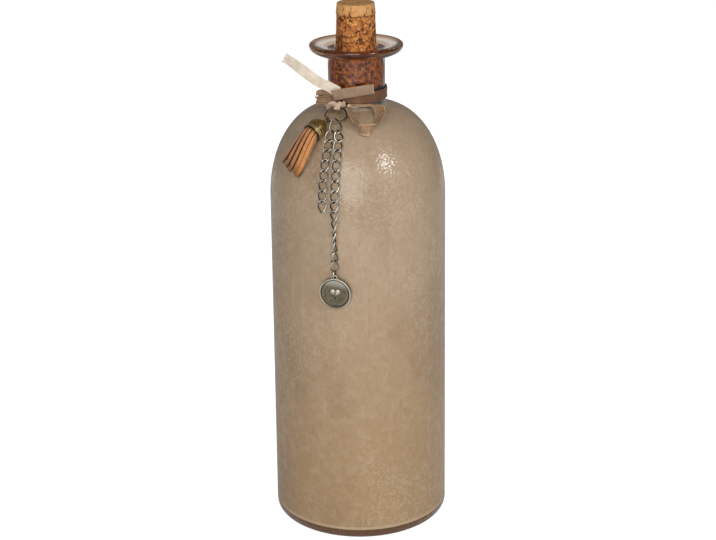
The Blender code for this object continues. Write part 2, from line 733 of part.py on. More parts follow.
def tassel_frame():
    """The hinge on the ring's wire, its axis, and the tassel's own way down and outward side."""
    hinge = ring_point(TASSEL_SEAT)
    azimuth, arc_length = place_on_glass(hinge)
    _, face, _ = glass_frame(azimuth, arc_length)
    outward = way_down(azimuth, arc_length, TASSEL_LEAN)
    axis = outward.cross(face)
    eye = hinge + outward * (EYE_RADIUS - EYE_WIRE / 2 - RING_WIRE / 2 - SEAT_GAP)
    crown = eye + outward * (EYE_RADIUS + EYE_WIRE / 2 + SEAT_GAP)
    outside = []
    for share in CAP_REST_SHARES:
        along = CAP_CROWN + (CAP_LENGTH - CAP_CROWN) * share
        outside += circle_points(crown + outward * along, axis, face, CAP_RADIUS, SMALL_TURN_STEPS)
    outside += circle_points(eye, outward, face, EYE_RADIUS + EYE_WIRE / 2, SMALL_TURN_STEPS)
    angle = rest_on_glass(outside, hinge, axis, 2 * SEAT_GAP)
    turn = Matrix.Rotation(angle, 3, axis)
    down = turn @ outward
    return hinge, axis, down, turn @ face, hinge + turn @ (eye - hinge), hinge + turn @ (crown - hinge)


def build_tassel(kit, ring_pivot):
    bronze = material("antique_bronze", (0.20, 0.14, 0.06), 0.35, metallic=1.0)
    suede = material("suede", (0.62, 0.30, 0.11), 0.9)
    hinge, axis, down, face, eye, crown = tassel_frame()
    pivot = kit.pivot("tassel_swing", hinge, ring_pivot)
    points = circle_points(eye, down, face, EYE_RADIUS, EYE_STEPS)
    kit.part("tassel_eye", wire_curve("tassel_eye", points, EYE_WIRE), bronze, pivot)
    across = down.cross(face)
    place = Matrix((across, face, -down)).transposed().to_4x4()
    place.translation = crown
    cap = turned_mesh("tassel_cap", cap_outline(), SMALL_TURN_STEPS, place)
    kit.part("tassel_cap", cap, bronze, pivot)
    build_fringe(kit, pivot, suede, crown, down, face)


def build_fringe(kit, pivot, suede, crown, down, face):
    """Strips of suede, fused where the cap holds them, which spread and droop on to the glass."""
    mouth = crown + down * CAP_LENGTH
    across = down.cross(face).normalized()
    root_depth = CAP_LENGTH - CAP_CROWN
    bore = CAP_RADIUS - CAP_WALL - SEAT_GAP
    core = bpy.data.meshes.new("tassel_fringe")
    bm = bmesh.new()
    ring = math.sqrt(bore**2 - (STRIP_ROOT_WIDTH / 2) ** 2) - STRIP_THICKNESS / 2
    bmesh.ops.create_cone(bm, cap_ends=True, segments=FRINGE_CORE_STEPS, radius1=ring, radius2=ring,
                          depth=root_depth + OVERRUN)
    place = Matrix((across, face, -down)).transposed().to_4x4()
    place.translation = mouth - down * ((root_depth - OVERRUN) / 2)
    bm.transform(place)
    bm.to_mesh(core)
    bm.free()
    fringe = kit.part("tassel_fringe", core, suede, pivot)
    spine = fringe_spine(mouth, down)
    joined = bmesh.new()
    for i in range(STRIP_COUNT):
        turn = 2 * math.pi * (i + 0.5) / STRIP_COUNT
        joined.from_mesh(fringe_strip(i, turn, mouth, down, across, face, ring, root_depth, spine))
    strips = bpy.data.meshes.new("fringe_strips")
    joined.to_mesh(strips)
    joined.free()
    cutter = kit.cutter("fringe_strips", strips)
    cutter.location = fringe.location
    cutter.parent = fringe.parent
    union = fringe.modifiers.new("strips", "BOOLEAN")
    union.operation = "UNION"
    union.solver = "EXACT"
    union.object = cutter


def fringe_spine(mouth, down):
    """Points down the middle of the fringe, and the glass's normal under each of them."""
    azimuth, arc_length = place_on_glass(mouth)
    tip_arc = arc_length + STRIP_LENGTH * math.cos(math.radians(FRINGE_LEAN))
    across = STRIP_LENGTH * math.sin(math.radians(FRINGE_LEAN))
    tip_radius = glass_frame(azimuth, tip_arc)[0].xy.length
    tip_azimuth = azimuth - math.degrees(across / tip_radius)
    standoff = FRINGE_DEPTH + STRIP_THICKNESS / 2 + 2 * SEAT_GAP
    tip = off_glass(tip_azimuth, tip_arc, standoff)
    bend = mouth + down * (STRIP_LENGTH * FRINGE_BEND_SHARE)
    spine = []
    for share in np.linspace(0, 1, STRIP_POINTS):
        point = mouth.lerp(bend, share).lerp(bend.lerp(tip, share), share)
        spine.append((point, glass_frame(*place_on_glass(point))[1]))
    return spine


def fringe_strip(index, turn, mouth, down, across, face, ring, root_depth, spine):
    centres, sides, widths = [], [], []
    name = f"fringe_strip_{index + 1}"
    outward = across * math.cos(turn) + face * math.sin(turn)
    tangent = across * -math.sin(turn) + face * math.cos(turn)
    for depth in (root_depth - OVERRUN, root_depth / 2):
        centres.append(mouth - down * depth + outward * ring)
        sides.append(tangent)
        widths.append(STRIP_ROOT_WIDTH)
    ragged = 1 - STRIP_TIP_RAGGED_SHARE * (1 + math.sin(STRIP_TIP_PHASE * index))
    for row, (point, normal) in enumerate(spine):
        share = row / (len(spine) - 1)
        ease = share * share * (3 - 2 * share)
        flow = (spine[min(row + 1, len(spine) - 1)][0] - spine[max(row - 1, 0)][0]).normalized()
        level = face.lerp(normal, ease).normalized()
        beside = flow.cross(level).normalized()
        level = beside.cross(flow).normalized()
        half_wide = ring + (FRINGE_SPREAD - ring) * ease
        half_deep = ring + (FRINGE_DEPTH - ring) * ease
        place = point + beside * (math.cos(turn) * half_wide) + level * (math.sin(turn) * half_deep)
        if row == len(spine) - 1:
            place = centres[-1] + (place - centres[-1]) * (ragged * 2 - 1)
        centres.append(place)
        ellipse = beside * (-math.sin(turn) * half_wide) + level * (math.cos(turn) * half_deep)
        sides.append(ellipse.normalized())
        widths.append(STRIP_ROOT_WIDTH + (STRIP_WIDTH - STRIP_ROOT_WIDTH) * ease)
    return strip_mesh(name, centres, sides, widths, STRIP_THICKNESS, 1)


# Chain


def link_points(length, width, roll, square=LINK_SQUARE_SHARE):
    """A twisted link's wire about its own middle: across, off the glass and down the chain."""
    half_long = (length - CHAIN_WIRE) / 2
    half_wide = (width - CHAIN_WIRE) / 2
    points = []
    for i in range(LINK_POINTS):
        t = 2 * math.pi * (i + 0.5) / LINK_POINTS
        down = half_long * math.sin(t)
        across = half_wide * math.copysign(abs(math.cos(t)) ** square, math.cos(t))
        turn = math.radians(LINK_TWIST / 2 * down / half_long + roll)
        points.append(Vector((across * math.cos(turn), across * math.sin(turn), down)))
    return points


def link_standoff(length, width, roll):
    """How far a link's middle is off the glass that it rests on."""
    return SEAT_GAP + CHAIN_WIRE / 2 - min(p.y for p in link_points(length, width, roll))


def hook_distance(first_length, second_length):
    """From the middle of one link to the middle of the next one hooked to it."""
    return (first_length + second_length) / 2 - 2 * CHAIN_WIRE - LINK_GAP


def next_arc(last, azimuth, start, standoff, distance):
    """The arc at which a link is the given distance from the last one."""
    low, high = start, start + 2 * distance
    for _ in range(SEARCH_STEPS):
        middle = (low + high) / 2
        if (off_glass(azimuth, middle, standoff) - last).length < distance:
            low = middle
        else:
            high = middle
    return high


def top_link_place():
    foot = ring_frame()[1]
    hook = (TOP_LINK_LENGTH - CHAIN_WIRE) / 2 - (RING_WIRE + CHAIN_WIRE) / 2 - LINK_GAP
    standoff = link_standoff(TOP_LINK_LENGTH, TOP_LINK_WIDTH, TOP_LINK_ROLL)
    start = RING_FOOT_ARC
    arc_length = next_arc(foot, TOP_LINK_AZIMUTH, start, standoff, hook)
    return off_glass(TOP_LINK_AZIMUTH, arc_length, standoff), arc_length


def strand_roll(number, turning):
    roll = START_ROLL * max(0.0, 1 - number / START_ROLL_LINKS)
    if turning:
        share = (number - turning[0]) / (turning[1] - turning[0])
        roll += LONG_STRAND_TURN * min(1.0, max(0.0, share))
    return roll


def strand(count, azimuth, ease_share, turning=None):
    """The places, rolls and glass normals of a strand's links, after the shared top link."""
    place, arc_length = top_link_place()
    links = [(place, START_ROLL, glass_frame(TOP_LINK_AZIMUTH, arc_length)[1])]
    last_length = TOP_LINK_LENGTH
    for number in range(1, count + 1):
        turn = azimuth + (TOP_LINK_AZIMUTH - azimuth) * ease_share**number
        roll = strand_roll(number, turning)
        standoff = link_standoff(LINK_LENGTH, LINK_WIDTH, roll)
        distance = hook_distance(last_length, LINK_LENGTH) - (TOP_LINK_SLACK if number == 1 else 0.0)
        arc_length = next_arc(links[-1][0], turn, arc_length, standoff, distance)
        links.append((off_glass(turn, arc_length, standoff), roll, glass_frame(turn, arc_length)[1]))
        last_length = LINK_LENGTH
    return links


def link_matrix(links, number):
    """A link's own frame: its columns are across, off the glass and down the chain."""
    before = links[max(number - 1, 0)][0]
    after = links[min(number + 1, len(links) - 1)][0]
    down = (after - before).normalized()
    normal = links[number][2]
    off = (normal - down * normal.dot(down)).normalized()
    matrix = Matrix((off.cross(down), off, down)).transposed().to_4x4()
    matrix.translation = links[number][0]
    return matrix


def build_link(kit, name, links, number, finish, pivot, length=LINK_LENGTH, width=LINK_WIDTH):
    matrix = link_matrix(links, number)
    points = [matrix @ p for p in link_points(length, width, links[number][1])]
    kit.part(name, wire_curve(name, points, CHAIN_WIRE), finish, pivot)


def hook_point(links, number):
    """The middle of the wire that a link hangs on, in the link before it."""
    before, here = links[number - 1][0], links[number][0]
    first = TOP_LINK_LENGTH if number == 1 else LINK_LENGTH
    share = (first - CHAIN_WIRE) / 2 / (here - before).length
    return before.lerp(here, share)


def build_chain(kit, ring_pivot):
    steel = material("bright_steel", (0.55, 0.54, 0.52), 0.25, metallic=1.0)
    long_links = strand(LONG_STRAND_LINKS, LONG_STRAND_AZIMUTH, LONG_STRAND_EASE_SHARE,
                        LONG_STRAND_TURN_LINKS)
    short_links = strand(SHORT_STRAND_LINKS, SHORT_STRAND_AZIMUTH, SHORT_STRAND_EASE_SHARE)
    top_pivot = kit.pivot("chain_swing", ring_frame()[1], ring_pivot)
    top = link_matrix([long_links[0], (long_links[1][0].lerp(short_links[1][0], 0.5), 0, None)], 0)
    shape = link_points(TOP_LINK_LENGTH, TOP_LINK_WIDTH, TOP_LINK_ROLL, TOP_LINK_SQUARE_SHARE)
    points = [top @ p for p in shape]
    kit.part("chain_top_link", wire_curve("chain_top_link", points, CHAIN_WIRE), steel, top_pivot)
    short_pivot = kit.pivot("short_strand_swing", hook_point(short_links, 1), top_pivot)
    for number in range(1, SHORT_STRAND_LINKS + 1):
        build_link(kit, f"short_chain_link_{number:02d}", short_links, number, steel, short_pivot)
    upper_pivot = kit.pivot("long_strand_swing", hook_point(long_links, 1), top_pivot)
    bend = hook_point(long_links, UPPER_STRAND_LINKS + 1)
    lower_pivot = kit.pivot("long_strand_bend", bend, upper_pivot)
    for number in range(1, LONG_STRAND_LINKS + 1):
        pivot = upper_pivot if number <= UPPER_STRAND_LINKS else lower_pivot
        build_link(kit, f"long_chain_link_{number:02d}", long_links, number, steel, pivot)
    build_charm(kit, long_links, lower_pivot, steel)


# Charm


def charm_outline():
    rim, half = CHARM_RADIUS - CHARM_RIM_WIDTH, CHARM_THICKNESS / 2
    floor = half - CHARM_RECESS
    upper = [(0.0, floor), (rim - CHARM_RECESS, floor), (rim, half)]
    edge = arc((CHARM_RADIUS - half / 2, 0.0), (half / 2, half), CHARM_EDGE_ANGLE, -CHARM_EDGE_ANGLE,
               SMALL_ARC_STEPS)
    lower = [(r, -z) for r, z in reversed(upper)]
    return upper + edge + lower


def disc_mesh(name, centre, axis, radius, depth, segments):
    """A plain cylinder about an axis."""
    mesh = bpy.data.meshes.new(name)
    bm = bmesh.new()
    bmesh.ops.create_cone(bm, cap_ends=True, segments=segments, radius1=radius, radius2=radius, depth=depth)
    place = axis.to_track_quat("Z", "Y").to_matrix().to_4x4()
    place.translation = centre
    bm.transform(place)
    bm.to_mesh(mesh)
    bm.free()
    return mesh


def build_charm(kit, links, parent, steel):
    pewter = material("antique_pewter", (0.20, 0.19, 0.15), 0.45, metallic=1.0)
    last = link_matrix(links, len(links) - 1)
    off, down = last.col[1].xyz, last.col[2].xyz
    half_link = (LINK_LENGTH - CHAIN_WIRE) / 2
    wires = (CHAIN_WIRE + CHARM_RING_WIRE) / 2
    hook = last.translation + down * (half_link - wires - LINK_GAP)
    _, normal, _ = glass_frame(LONG_STRAND_AZIMUTH, GLASS_ARCS[-1] / 2)
    ring_standoff = CHARM_RING_RADIUS + CHARM_RING_WIRE / 2 + SEAT_GAP
    middle = hook + down * CHARM_RING_RADIUS
    middle += normal * (ring_standoff - glass_distance(middle))
    pivot = kit.pivot("charm_swing", last.translation + down * half_link, parent)
    ring = circle_points(middle, normal, down, CHARM_RING_RADIUS, CHARM_RING_STEPS)
    kit.part("charm_ring", wire_curve("charm_ring", ring, CHARM_RING_WIRE), steel, pivot)
    hole = middle + down * (CHARM_RING_RADIUS - (LUG_HOLE_RADIUS - CHARM_RING_WIRE / 2 - SEAT_GAP))
    across = down.cross(normal).normalized()
    disc_centre = hole + down * (CHARM_RADIUS + LUG_RISE)
    edge = [disc_centre + down * (CHARM_RADIUS * math.cos(a)) + across * (CHARM_RADIUS * math.sin(a))
            - normal * (CHARM_THICKNESS / 2) for a in np.radians(np.linspace(-90, 90, SMALL_TURN_STEPS))]
    angle = rest_on_glass(edge, hole, across, SEAT_GAP)
    turn = Matrix.Rotation(angle, 3, across)
    down, normal = turn @ down, turn @ normal
    disc_centre = hole + down * (CHARM_RADIUS + LUG_RISE)
    place = Matrix((across, down, normal)).transposed().to_4x4()
    if place.determinant() < 0:
        place = Matrix((-across, down, normal)).transposed().to_4x4()
    place.translation = disc_centre
    charm = kit.part("charm", turned_mesh("charm", charm_outline(), SMALL_TURN_STEPS, place), pewter, pivot)
    lug = kit.cutter("charm_lug", disc_mesh("charm_lug", hole, normal, LUG_RADIUS, LUG_THICKNESS, LUG_STEPS))
    bore = kit.cutter("charm_bore", disc_mesh("charm_bore", hole, normal, LUG_HOLE_RADIUS,
                                              CHARM_THICKNESS + 2 * OVERRUN, LUG_HOLE_STEPS))
    for cutter, operation in ((lug, "UNION"), (bore, "DIFFERENCE")):
        cutter.location = charm.location
        cutter.parent = pivot
        step = charm.modifiers.new(cutter.name, "BOOLEAN")
        step.operation = operation
        step.solver = "EXACT"
        step.object = cutter


def clear_scene():
    for thing in list(bpy.data.objects):
        bpy.data.objects.remove(thing)


def build():
    clear_scene()
    kit = Assembly("decorative_bottle")
    build_bottle(kit)
    build_cork(kit)
    pale = material("pale_ribbon", (0.80, 0.70, 0.55), 0.5)
    dark = material("taupe_ribbon", (0.36, 0.26, 0.18), 0.5)
    build_band(kit, dark)
    build_knot(kit, dark)
    build_left_tail(kit, pale)
    build_right_tail(kit, dark)
    build_bow(kit, pale)
    build_keeper(kit, pale)
    ring_pivot = build_ring(kit, material("ring_steel", (0.50, 0.46, 0.40), 0.3, metallic=1.0))
    build_tassel(kit, ring_pivot)
    build_chain(kit, ring_pivot)


if __name__ == "__main__":
    build()
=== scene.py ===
"""The looks of a corked bottle with a ribbon tie, a suede tassel and a chain with a round charm.

The file is laid out as an add-on and is run as a script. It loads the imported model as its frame,
dresses each of its parts, and sets up a plain studio round it. Metres, +Z up, the front is -Y.
Angles are in degrees.
"""

import math

import bmesh
import bpy
import numpy as np
from mathutils import Matrix, Vector, noise


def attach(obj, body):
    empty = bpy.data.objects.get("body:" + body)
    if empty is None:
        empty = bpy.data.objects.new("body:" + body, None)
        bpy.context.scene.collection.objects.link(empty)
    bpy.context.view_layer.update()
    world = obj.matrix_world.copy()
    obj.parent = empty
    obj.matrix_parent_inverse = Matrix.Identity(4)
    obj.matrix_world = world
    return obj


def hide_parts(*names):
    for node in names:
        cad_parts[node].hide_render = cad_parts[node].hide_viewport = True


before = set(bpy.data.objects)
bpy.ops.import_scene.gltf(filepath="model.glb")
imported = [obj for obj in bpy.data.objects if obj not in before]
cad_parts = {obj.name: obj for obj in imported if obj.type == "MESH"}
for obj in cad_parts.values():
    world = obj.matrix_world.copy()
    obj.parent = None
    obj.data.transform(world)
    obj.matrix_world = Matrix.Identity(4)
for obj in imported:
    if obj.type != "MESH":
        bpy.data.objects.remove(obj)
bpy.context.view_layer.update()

bl_info = {
    "name": "Decorative Bottle",
    "version": (1, 0, 0),
    "blender": (4, 5, 0),
    "location": "View3D > Sidebar > Bottle",
    "description": "Dresses a corked bottle with a ribbon tie, a suede tassel and a charm chain",
    "category": "Object",
}

MM = 0.001
WELD = 0.01 * MM
UP = Vector((0.0, 0.0, 1.0))
FRONT = Vector((0.0, -1.0, 0.0))
WHITE = (1.0, 1.0, 1.0, 1.0)
RIPPLE_SHIFTS = ((0.0, 0.0, 0.0), (17.3, 5.1, 9.7), (3.9, 23.7, 11.3))  # far apart, so unlike

# Glass
BODY_RADIUS = 50.0 * MM
SHOULDER_RADIUS = 49.1 * MM
SHOULDER_START = 193.0 * MM
SHOULDER_RISE = 50.5 * MM
WALL = 4.0 * MM
HEEL_RADIUS = 4.5 * MM
INNER_HEEL_RADIUS = 7.0 * MM
FLOOR_HEIGHT = 8.5 * MM
BEARING_RADIUS = 38.0 * MM
PUSH_UP = 3.5 * MM
GLASS_HEIGHT = 278.0 * MM
NECK_RADIUS = 15.65 * MM
NECK_FOOT_FILLET = 2.6 * MM
BORE_RADIUS = 11.5 * MM
LIP_RADIUS = 25.7 * MM
LIP_DEPTH = 6.3 * MM
LIP_EDGE_RADIUS = 1.4 * MM
LIP_FILLET = 0.9 * MM
LIP_DISH = 2.0 * MM
MOUTH = GLASS_HEIGHT - LIP_DISH
MOUTH_ROUND = 1.1 * MM
COAT_TOP = 250.0 * MM
GLASS_STEPS = 144
GLASS_SHADOW = (0.50, 0.43, 0.38, 1.0)

# Cork
CORK_TOP = 300.0 * MM
CORK_END = 253.5 * MM
CORK_DISC_HEIGHT = 6.3 * MM
CORK_CLEARANCE = 0.3 * MM
CORK_TAPER = 0.9 * MM
CORK_FOOT_TAPER = 0.3 * MM
CORK_STEPS = 120
PRESSED_RADIUS = 11.52 * MM  # where the cork is squeezed against the glass
SEAT_GAP = 0.3 * MM

# Ribbon
RIBBON_WIDTH = 6.0 * MM
RIBBON_THICKNESS = 0.4 * MM
BAND_RADIUS = 16.5 * MM
BAND_FOOT = 247.8 * MM
BAND_CREASE = 0.35 * MM
BAND_ROWS = 120
KNOT_MIDDLE = Vector((-17.407, -12.188, 250.4)) * MM
KNOT_TURN = -12.0
KNOT_SIZE = (4.6 * MM, 2.7 * MM, 4.2 * MM)
KNOT_FOLDS = 14
KNOT_CORE_LENGTH = 0.82
KNOT_CORE_GIRTH = 0.60
CREASE_ANGLE = 60.0
TAIL_TWIST = 14.0
FRAY_THREADS = 18
THREAD_WIDTH = 0.2 * MM
THREAD_THICKNESS = 0.16 * MM
STRAP_COLUMNS = 24
STRAP_DEPTH = 0.70 * MM
STRAP_OPENING = 1.0 * MM
STRAP_OVERLAP = 2.4 * MM
BOW_LEAN = -44.0
BOW_SWAY = 16.0
BOW_FOOT = 0.60  # shares of the way round the loop
BOW_GATHER = 0.10
BOW_FOOT_TURN = 92.0
CRUMPLE_WIDTH = 3.4 * MM
CRUMPLE_DEPTH = 0.55 * MM
CRUMPLE_TWIST = 40.0
LEFT_TAIL_GUIDES = [
    (-9.9, -15.0, 254.1),
    (-14.9, -14.6, 256.9),
    (-20.5, -13.8, 259.5),
    (-25.6, -12.8, 263.0),
    (-31.5, -11.7, 267.4),
    (-35.2, -11.0, 270.1),
    (-38.4, -10.4, 272.0),
]
STRAP_GUIDES = [
    (-13.6, -17.2, 252.4),
    (-11.4, -18.0, 253.0),
    (-6.3, -18.6, 254.0),
    (0.8, -18.5, 255.1),
    (6.0, -18.1, 255.8),
    (9.2, -17.8, 256.2),
]
BOW_GUIDES = [
    (-4.38, -17.43, 247.00),
    (-0.24, -17.85, 247.01),
    (3.92, -17.42, 247.01),
    (7.74, -16.98, 246.92),
    (10.86, -18.18, 246.50),
    (12.50, -21.82, 245.32),
    (12.35, -26.95, 243.14),
    (9.97, -32.18, 240.33),
    (6.25, -35.47, 238.29),
    (2.30, -35.46, 238.74),
    (-0.13, -32.63, 241.15),
    (-1.63, -28.81, 243.59),
    (-3.08, -24.95, 245.32),
    (-4.79, -20.86, 246.45),
]
CRUMPLE_GUIDES = [
    (-16.8, -15.6, 246.6),
    (-15.0, -17.6, 247.4),
    (-12.9, -19.2, 248.6),
    (-10.4, -20.2, 248.4),
    (-8.2, -19.4, 247.9),
    (-6.4, -18.3, 248.6),
]

# Ring and tassel
RING_MIDDLE = Vector((-11.267, -24.457, 243.680)) * MM
RING_DOWN = Vector((-0.10190, -0.88398, -0.45629))
RING_ACROSS = Vector((0.99342, -0.11451, 0.0))
RING_RADIUS = 5.9 * MM
RING_WIRE = 0.9 * MM
RING_SEGMENTS = 72
RING_CLOSING = 0.42
RING_TOP = Vector((-10.666, -19.242, 246.372)) * MM
RING_TOP_REACH = 22.0 * MM  # from the axis of the bottle
KEEPER_WIDTH = 3.2 * MM
KEEPER_ROOM = 0.75 * MM
KEEPER_ROWS = 36
TASSEL_ACROSS = Vector((-0.72993, 0.66964, 0.13708))
TASSEL_FACE = Vector((-0.21798, -0.41813, 0.88185))
TASSEL_DOWN = Vector((-0.64783, -0.61380, -0.45117))
EYE_MIDDLE = Vector((-16.547, -27.412, 241.819)) * MM
EYE_RADIUS = 1.6 * MM
EYE_WIRE = 0.8 * MM
CROWN = Vector((-18.037, -28.824, 240.781)) * MM
CAP_RADIUS = 5.2 * MM
CAP_LENGTH = 9.9 * MM
CAP_CROWN = 5.3 * MM
CAP_WALL = 0.8 * MM
GROOVE_DEPTH = 0.35 * MM
GROOVE_WIDTH = 0.7 * MM
GROOVE_PITCH = 1.05 * MM
CAP_RIM = 0.9 * MM
CAP_STEPS = 64
FRINGE_TIP = Vector((-36.05, -32.84, 216.1)) * MM
FRINGE_TIP_NORMAL = Vector((-0.703, -0.641, 0.307))
FRINGE_BEND_SHARE = 0.16
FRINGE_ROOT = 3.85 * MM
FRINGE_SPREAD = 7.6 * MM
FRINGE_DEPTH = 2.3 * MM
FRINGE_ROWS = 17
FRINGE_MOUTH_ROW = 3  # the first row of a strip that is out of the cap
INNER_STRIPS = 3
INNER_REACH = 0.35
STRIP_WIDTH = 1.75 * MM
STRIP_WIDENING = 0.65 * MM
STRIP_SWAY = 1.2 * MM
STRIP_CURL = 1.6 * MM
STRIP_TWIST = 22.0
STRIP_ROUNDING = 0.08 * MM
STRIP_THICKNESS = 0.8 * MM

# Charm
CHARM_MIDDLE = Vector((-12.93, -49.639, 150.742)) * MM
CHARM_ACROSS = Vector((-0.96771, 0.25207, 0.0))
CHARM_DOWN = Vector((0.02446, 0.09389, -0.99528))
CHARM_NORMAL = Vector((-0.25183, -0.96678, -0.04391))
CHARM_RADIUS = 8.9 * MM
CHARM_THICKNESS = 1.6 * MM
CHARM_RIM_WIDTH = 0.8 * MM
CHARM_RECESS = 0.35 * MM
LUG_RADIUS = 1.9 * MM
LUG_THICKNESS = 1.2 * MM
LUG_HOLE_RADIUS = 1.05 * MM
LUG_RISE = 0.4 * MM
HEART_SIZE = 5.6 * MM
HEART_POINTS = 40
BEADS = 28
BEAD_RADIUS = 0.40 * MM
BEAD_INSET = 1.25 * MM

# Chain
SHORT_LINKS = [f"short_chain_link_{number:02d}" for number in range(1, 9)]
LONG_LINKS = [f"long_chain_link_{number:02d}" for number in range(1, 15)]
LINK_GROUPS = {
    "chain_top": ["chain_top_link"],
    "short_strand": SHORT_LINKS,
    "long_strand_upper": LONG_LINKS[:7],
    "long_strand_lower": LONG_LINKS[7:],
    "charm_on_ring": ["charm_ring"],
}
LINK_ROUNDING = 0.05 * MM

# Camera
CAMERA_PLACE = (-0.43 * MM, -0.900, 0.4714)
CAMERA_DIP = 19.87
CAMERA_ROLL = -0.68
CAMERA_LENS = 84.24


def paint(red, green, blue):
    """A colour as it is read off a screen, from 0 to 255, in the linear numbers of a shader."""
    def linear(value):
        share = value / 255
        return share / 12.92 if share <= 0.04045 else ((share + 0.055) / 1.055) ** 2.4
    return (linear(red), linear(green), linear(blue))


def colour_setting(name, description, value):
    return bpy.props.FloatVectorProperty(name=name, description=description, default=value,
                                         subtype="COLOR", size=3, min=0.0, max=1.0)


def length_setting(name, description, value):
    return bpy.props.FloatProperty(name=name, description=description, default=value,
                                   unit="LENGTH", subtype="DISTANCE", min=0.0)


def share_setting(name, description, value):
    return bpy.props.FloatProperty(name=name, description=description, default=value,
                                   subtype="FACTOR", min=0.0, max=1.0)


def power_setting(name, description, value):
    return bpy.props.FloatProperty(name=name, description=description, default=value,
                                   unit="POWER", min=0.0)


class GlassSettings(bpy.types.PropertyGroup):
    """The glass and the frosted coat on its outside."""

    coat: colour_setting("Coat", "The coat's tone on the shoulder", paint(172, 148, 121))
    coat_low: colour_setting("Low coat", "The coat's warmer tone at the foot", paint(166, 136, 98))
    # Pale coat: where the coat is thick, and also the colour of the painted highlight along the coat's foot.
    pale_coat_and_foot_highlight: colour_setting("Pale coat", "Where the coat is thick", paint(188, 166, 137))
    coat_dark: colour_setting("Dark coat", "Where the coat is thin", paint(134, 104, 72))
    fleck: colour_setting("Flecks", "The fine pale flecks in the coat", paint(206, 190, 166))
    glass: colour_setting("Glass", "The tint of the bare glass", paint(172, 146, 122))
    brim_glass: colour_setting("Brim glass", "The paler tint of the lip's dish", paint(206, 194, 182))
    thick_glass: colour_setting("Thick glass", "The tint at the lip's edge and the heel", paint(116, 78, 48))
    coat_foot: length_setting("Coat foot", "How high the coat starts", 6.2 * MM)
    coat_edge: length_setting("Coat edge", "How high the coat ends", 244.5 * MM)


class CorkSettings(bpy.types.PropertyGroup):
    """The pressed cork and the denser disc on top of it."""

    body: colour_setting("Granules", "The middle tone of the pressed cork", paint(186, 112, 56))
    body_dark: colour_setting("Dark granules", "The bark between the granules", paint(64, 28, 10))
    body_pale: colour_setting("Pale granules", "The palest granules", paint(236, 168, 96))
    disc: colour_setting("Disc", "The denser cork on top", paint(208, 154, 96))
    disc_dark: colour_setting("Disc pits", "The pits in the disc", paint(108, 62, 28))


class RibbonSettings(bpy.types.PropertyGroup):
    """The two faces of the ribbon, and its tones where it is shaded or creased. The pale face is partly
    painted light: light from behind shining through the ribbon.
    """

    # Pale face: partly the ribbon's own colour, partly painted light shining through it from behind.
    pale: colour_setting("Pale face", "The shiny face", paint(232, 217, 196))
    dark: colour_setting("Dark face", "The dull face", paint(158, 130, 104))
    band: colour_setting("Band", "The shaded turn round the neck", paint(116, 80, 54))
    knotted: colour_setting("Knot", "The pleats of the knot", paint(160, 126, 96))
    glossy: colour_setting("Loop", "The glossy loop on the shoulder", paint(176, 140, 106))
    crumpled: colour_setting("Keeper", "The crumpled turn above the ring", paint(214, 186, 160))
    weave: length_setting("Weave", "From one rib of the weave to the next", 0.35 * MM)


class TrimSettings(bpy.types.PropertyGroup):
    """The metal trim and the suede."""

    steel: colour_setting("Steel", "The chain", paint(222, 216, 204))
    dull_steel: colour_setting("Dull steel", "The jump ring", paint(128, 114, 96))
    bronze: colour_setting("Bronze", "The tassel's cap", paint(170, 138, 80))
    # Rubbed bronze: the colour of the painted highlight in the cap's grooves.
    rubbed: colour_setting("Rubbed bronze", "The rubbed ridges of the cap", paint(232, 206, 150))
    pewter: colour_setting("Pewter", "The raised parts of the charm", paint(206, 200, 184))
    # Patina: also the colour of the painted shade on the inner sides of the chain's links.
    patina_and_shade: colour_setting("Patina", "The dark in the hollows of the metal", paint(62, 56, 44))
    suede: colour_setting("Suede", "The flat faces of the strips", paint(206, 142, 86))
    # Cut edge: partly the edge's own colour, partly painted shade for the gaps between the strips.
    shaded_suede_edge: colour_setting("Cut edge", "The cut edges of the strips", paint(92, 46, 18))
    strips: bpy.props.IntProperty(name="Strips", description="Strips of suede in the tassel",
                                  default=12, min=6, max=16)


class StageSettings(bpy.types.PropertyGroup):
    """The floor and the lights."""

    floor: colour_setting("Floor", "The floor's colour", (0.9, 0.9, 0.9))
    key: power_setting("Key light", "The broad soft light in front", 15.0)
    glint: power_setting("Glint light", "The small light that glints on the shoulder", 7.0)
    rim: power_setting("Rim lights", "The strips behind the bottle, at both sides", 2.2)
    glow: share_setting("Floor glow", "How much of the white floor is its own glow", 0.80)
    sky: share_setting("Sky", "How strongly the surroundings light the bottle", 0.20)


SETTINGS = {
    "bottle_glass": GlassSettings,
    "bottle_cork": CorkSettings,
    "bottle_ribbon": RibbonSettings,
    "bottle_trim": TrimSettings,
    "bottle_stage": StageSettings,
}



# Modelling


def nothing_selected():
    """Leaves edit mode and drops the selection."""
    if bpy.context.mode != "OBJECT":
        bpy.ops.object.mode_set(mode="OBJECT")
    bpy.ops.object.select_all(action="DESELECT")


def named(name):
    """Names the piece that was just added or joined."""
    made = bpy.context.object
    made.name = name
    made.data.name = name
    return made


def added(kind, name, **values):
    """Adds one of the plain mesh shapes and names it."""
    nothing_selected()
    getattr(bpy.ops.mesh, f"primitive_{kind}_add")(**values)
    return named(name)


def only(piece):
    nothing_selected()
    piece.select_set(True)
    bpy.context.view_layer.objects.active = piece


def joined(name, pieces):
    """Joins all pieces into the first one."""
    only(pieces[0])
    for piece in pieces[1:]:
        piece.select_set(True)
    bpy.ops.object.join()
    return named(name)


def edit(piece, action="SELECT"):
    """Edit mode on one piece, with all of it or none of it selected."""
    only(piece)
    bpy.ops.object.mode_set(mode="EDIT")
    bpy.ops.mesh.select_all(action=action)


def pick_faces(piece, test):
    """Selects the faces whose middle and normal pass a test."""
    bpy.ops.mesh.select_mode(type="FACE")
    mesh = bmesh.from_edit_mesh(piece.data)
    for face in mesh.faces:
        face.select_set(test(face.calc_center_median(), face.normal))
    mesh.select_flush_mode()
    bmesh.update_edit_mesh(piece.data)


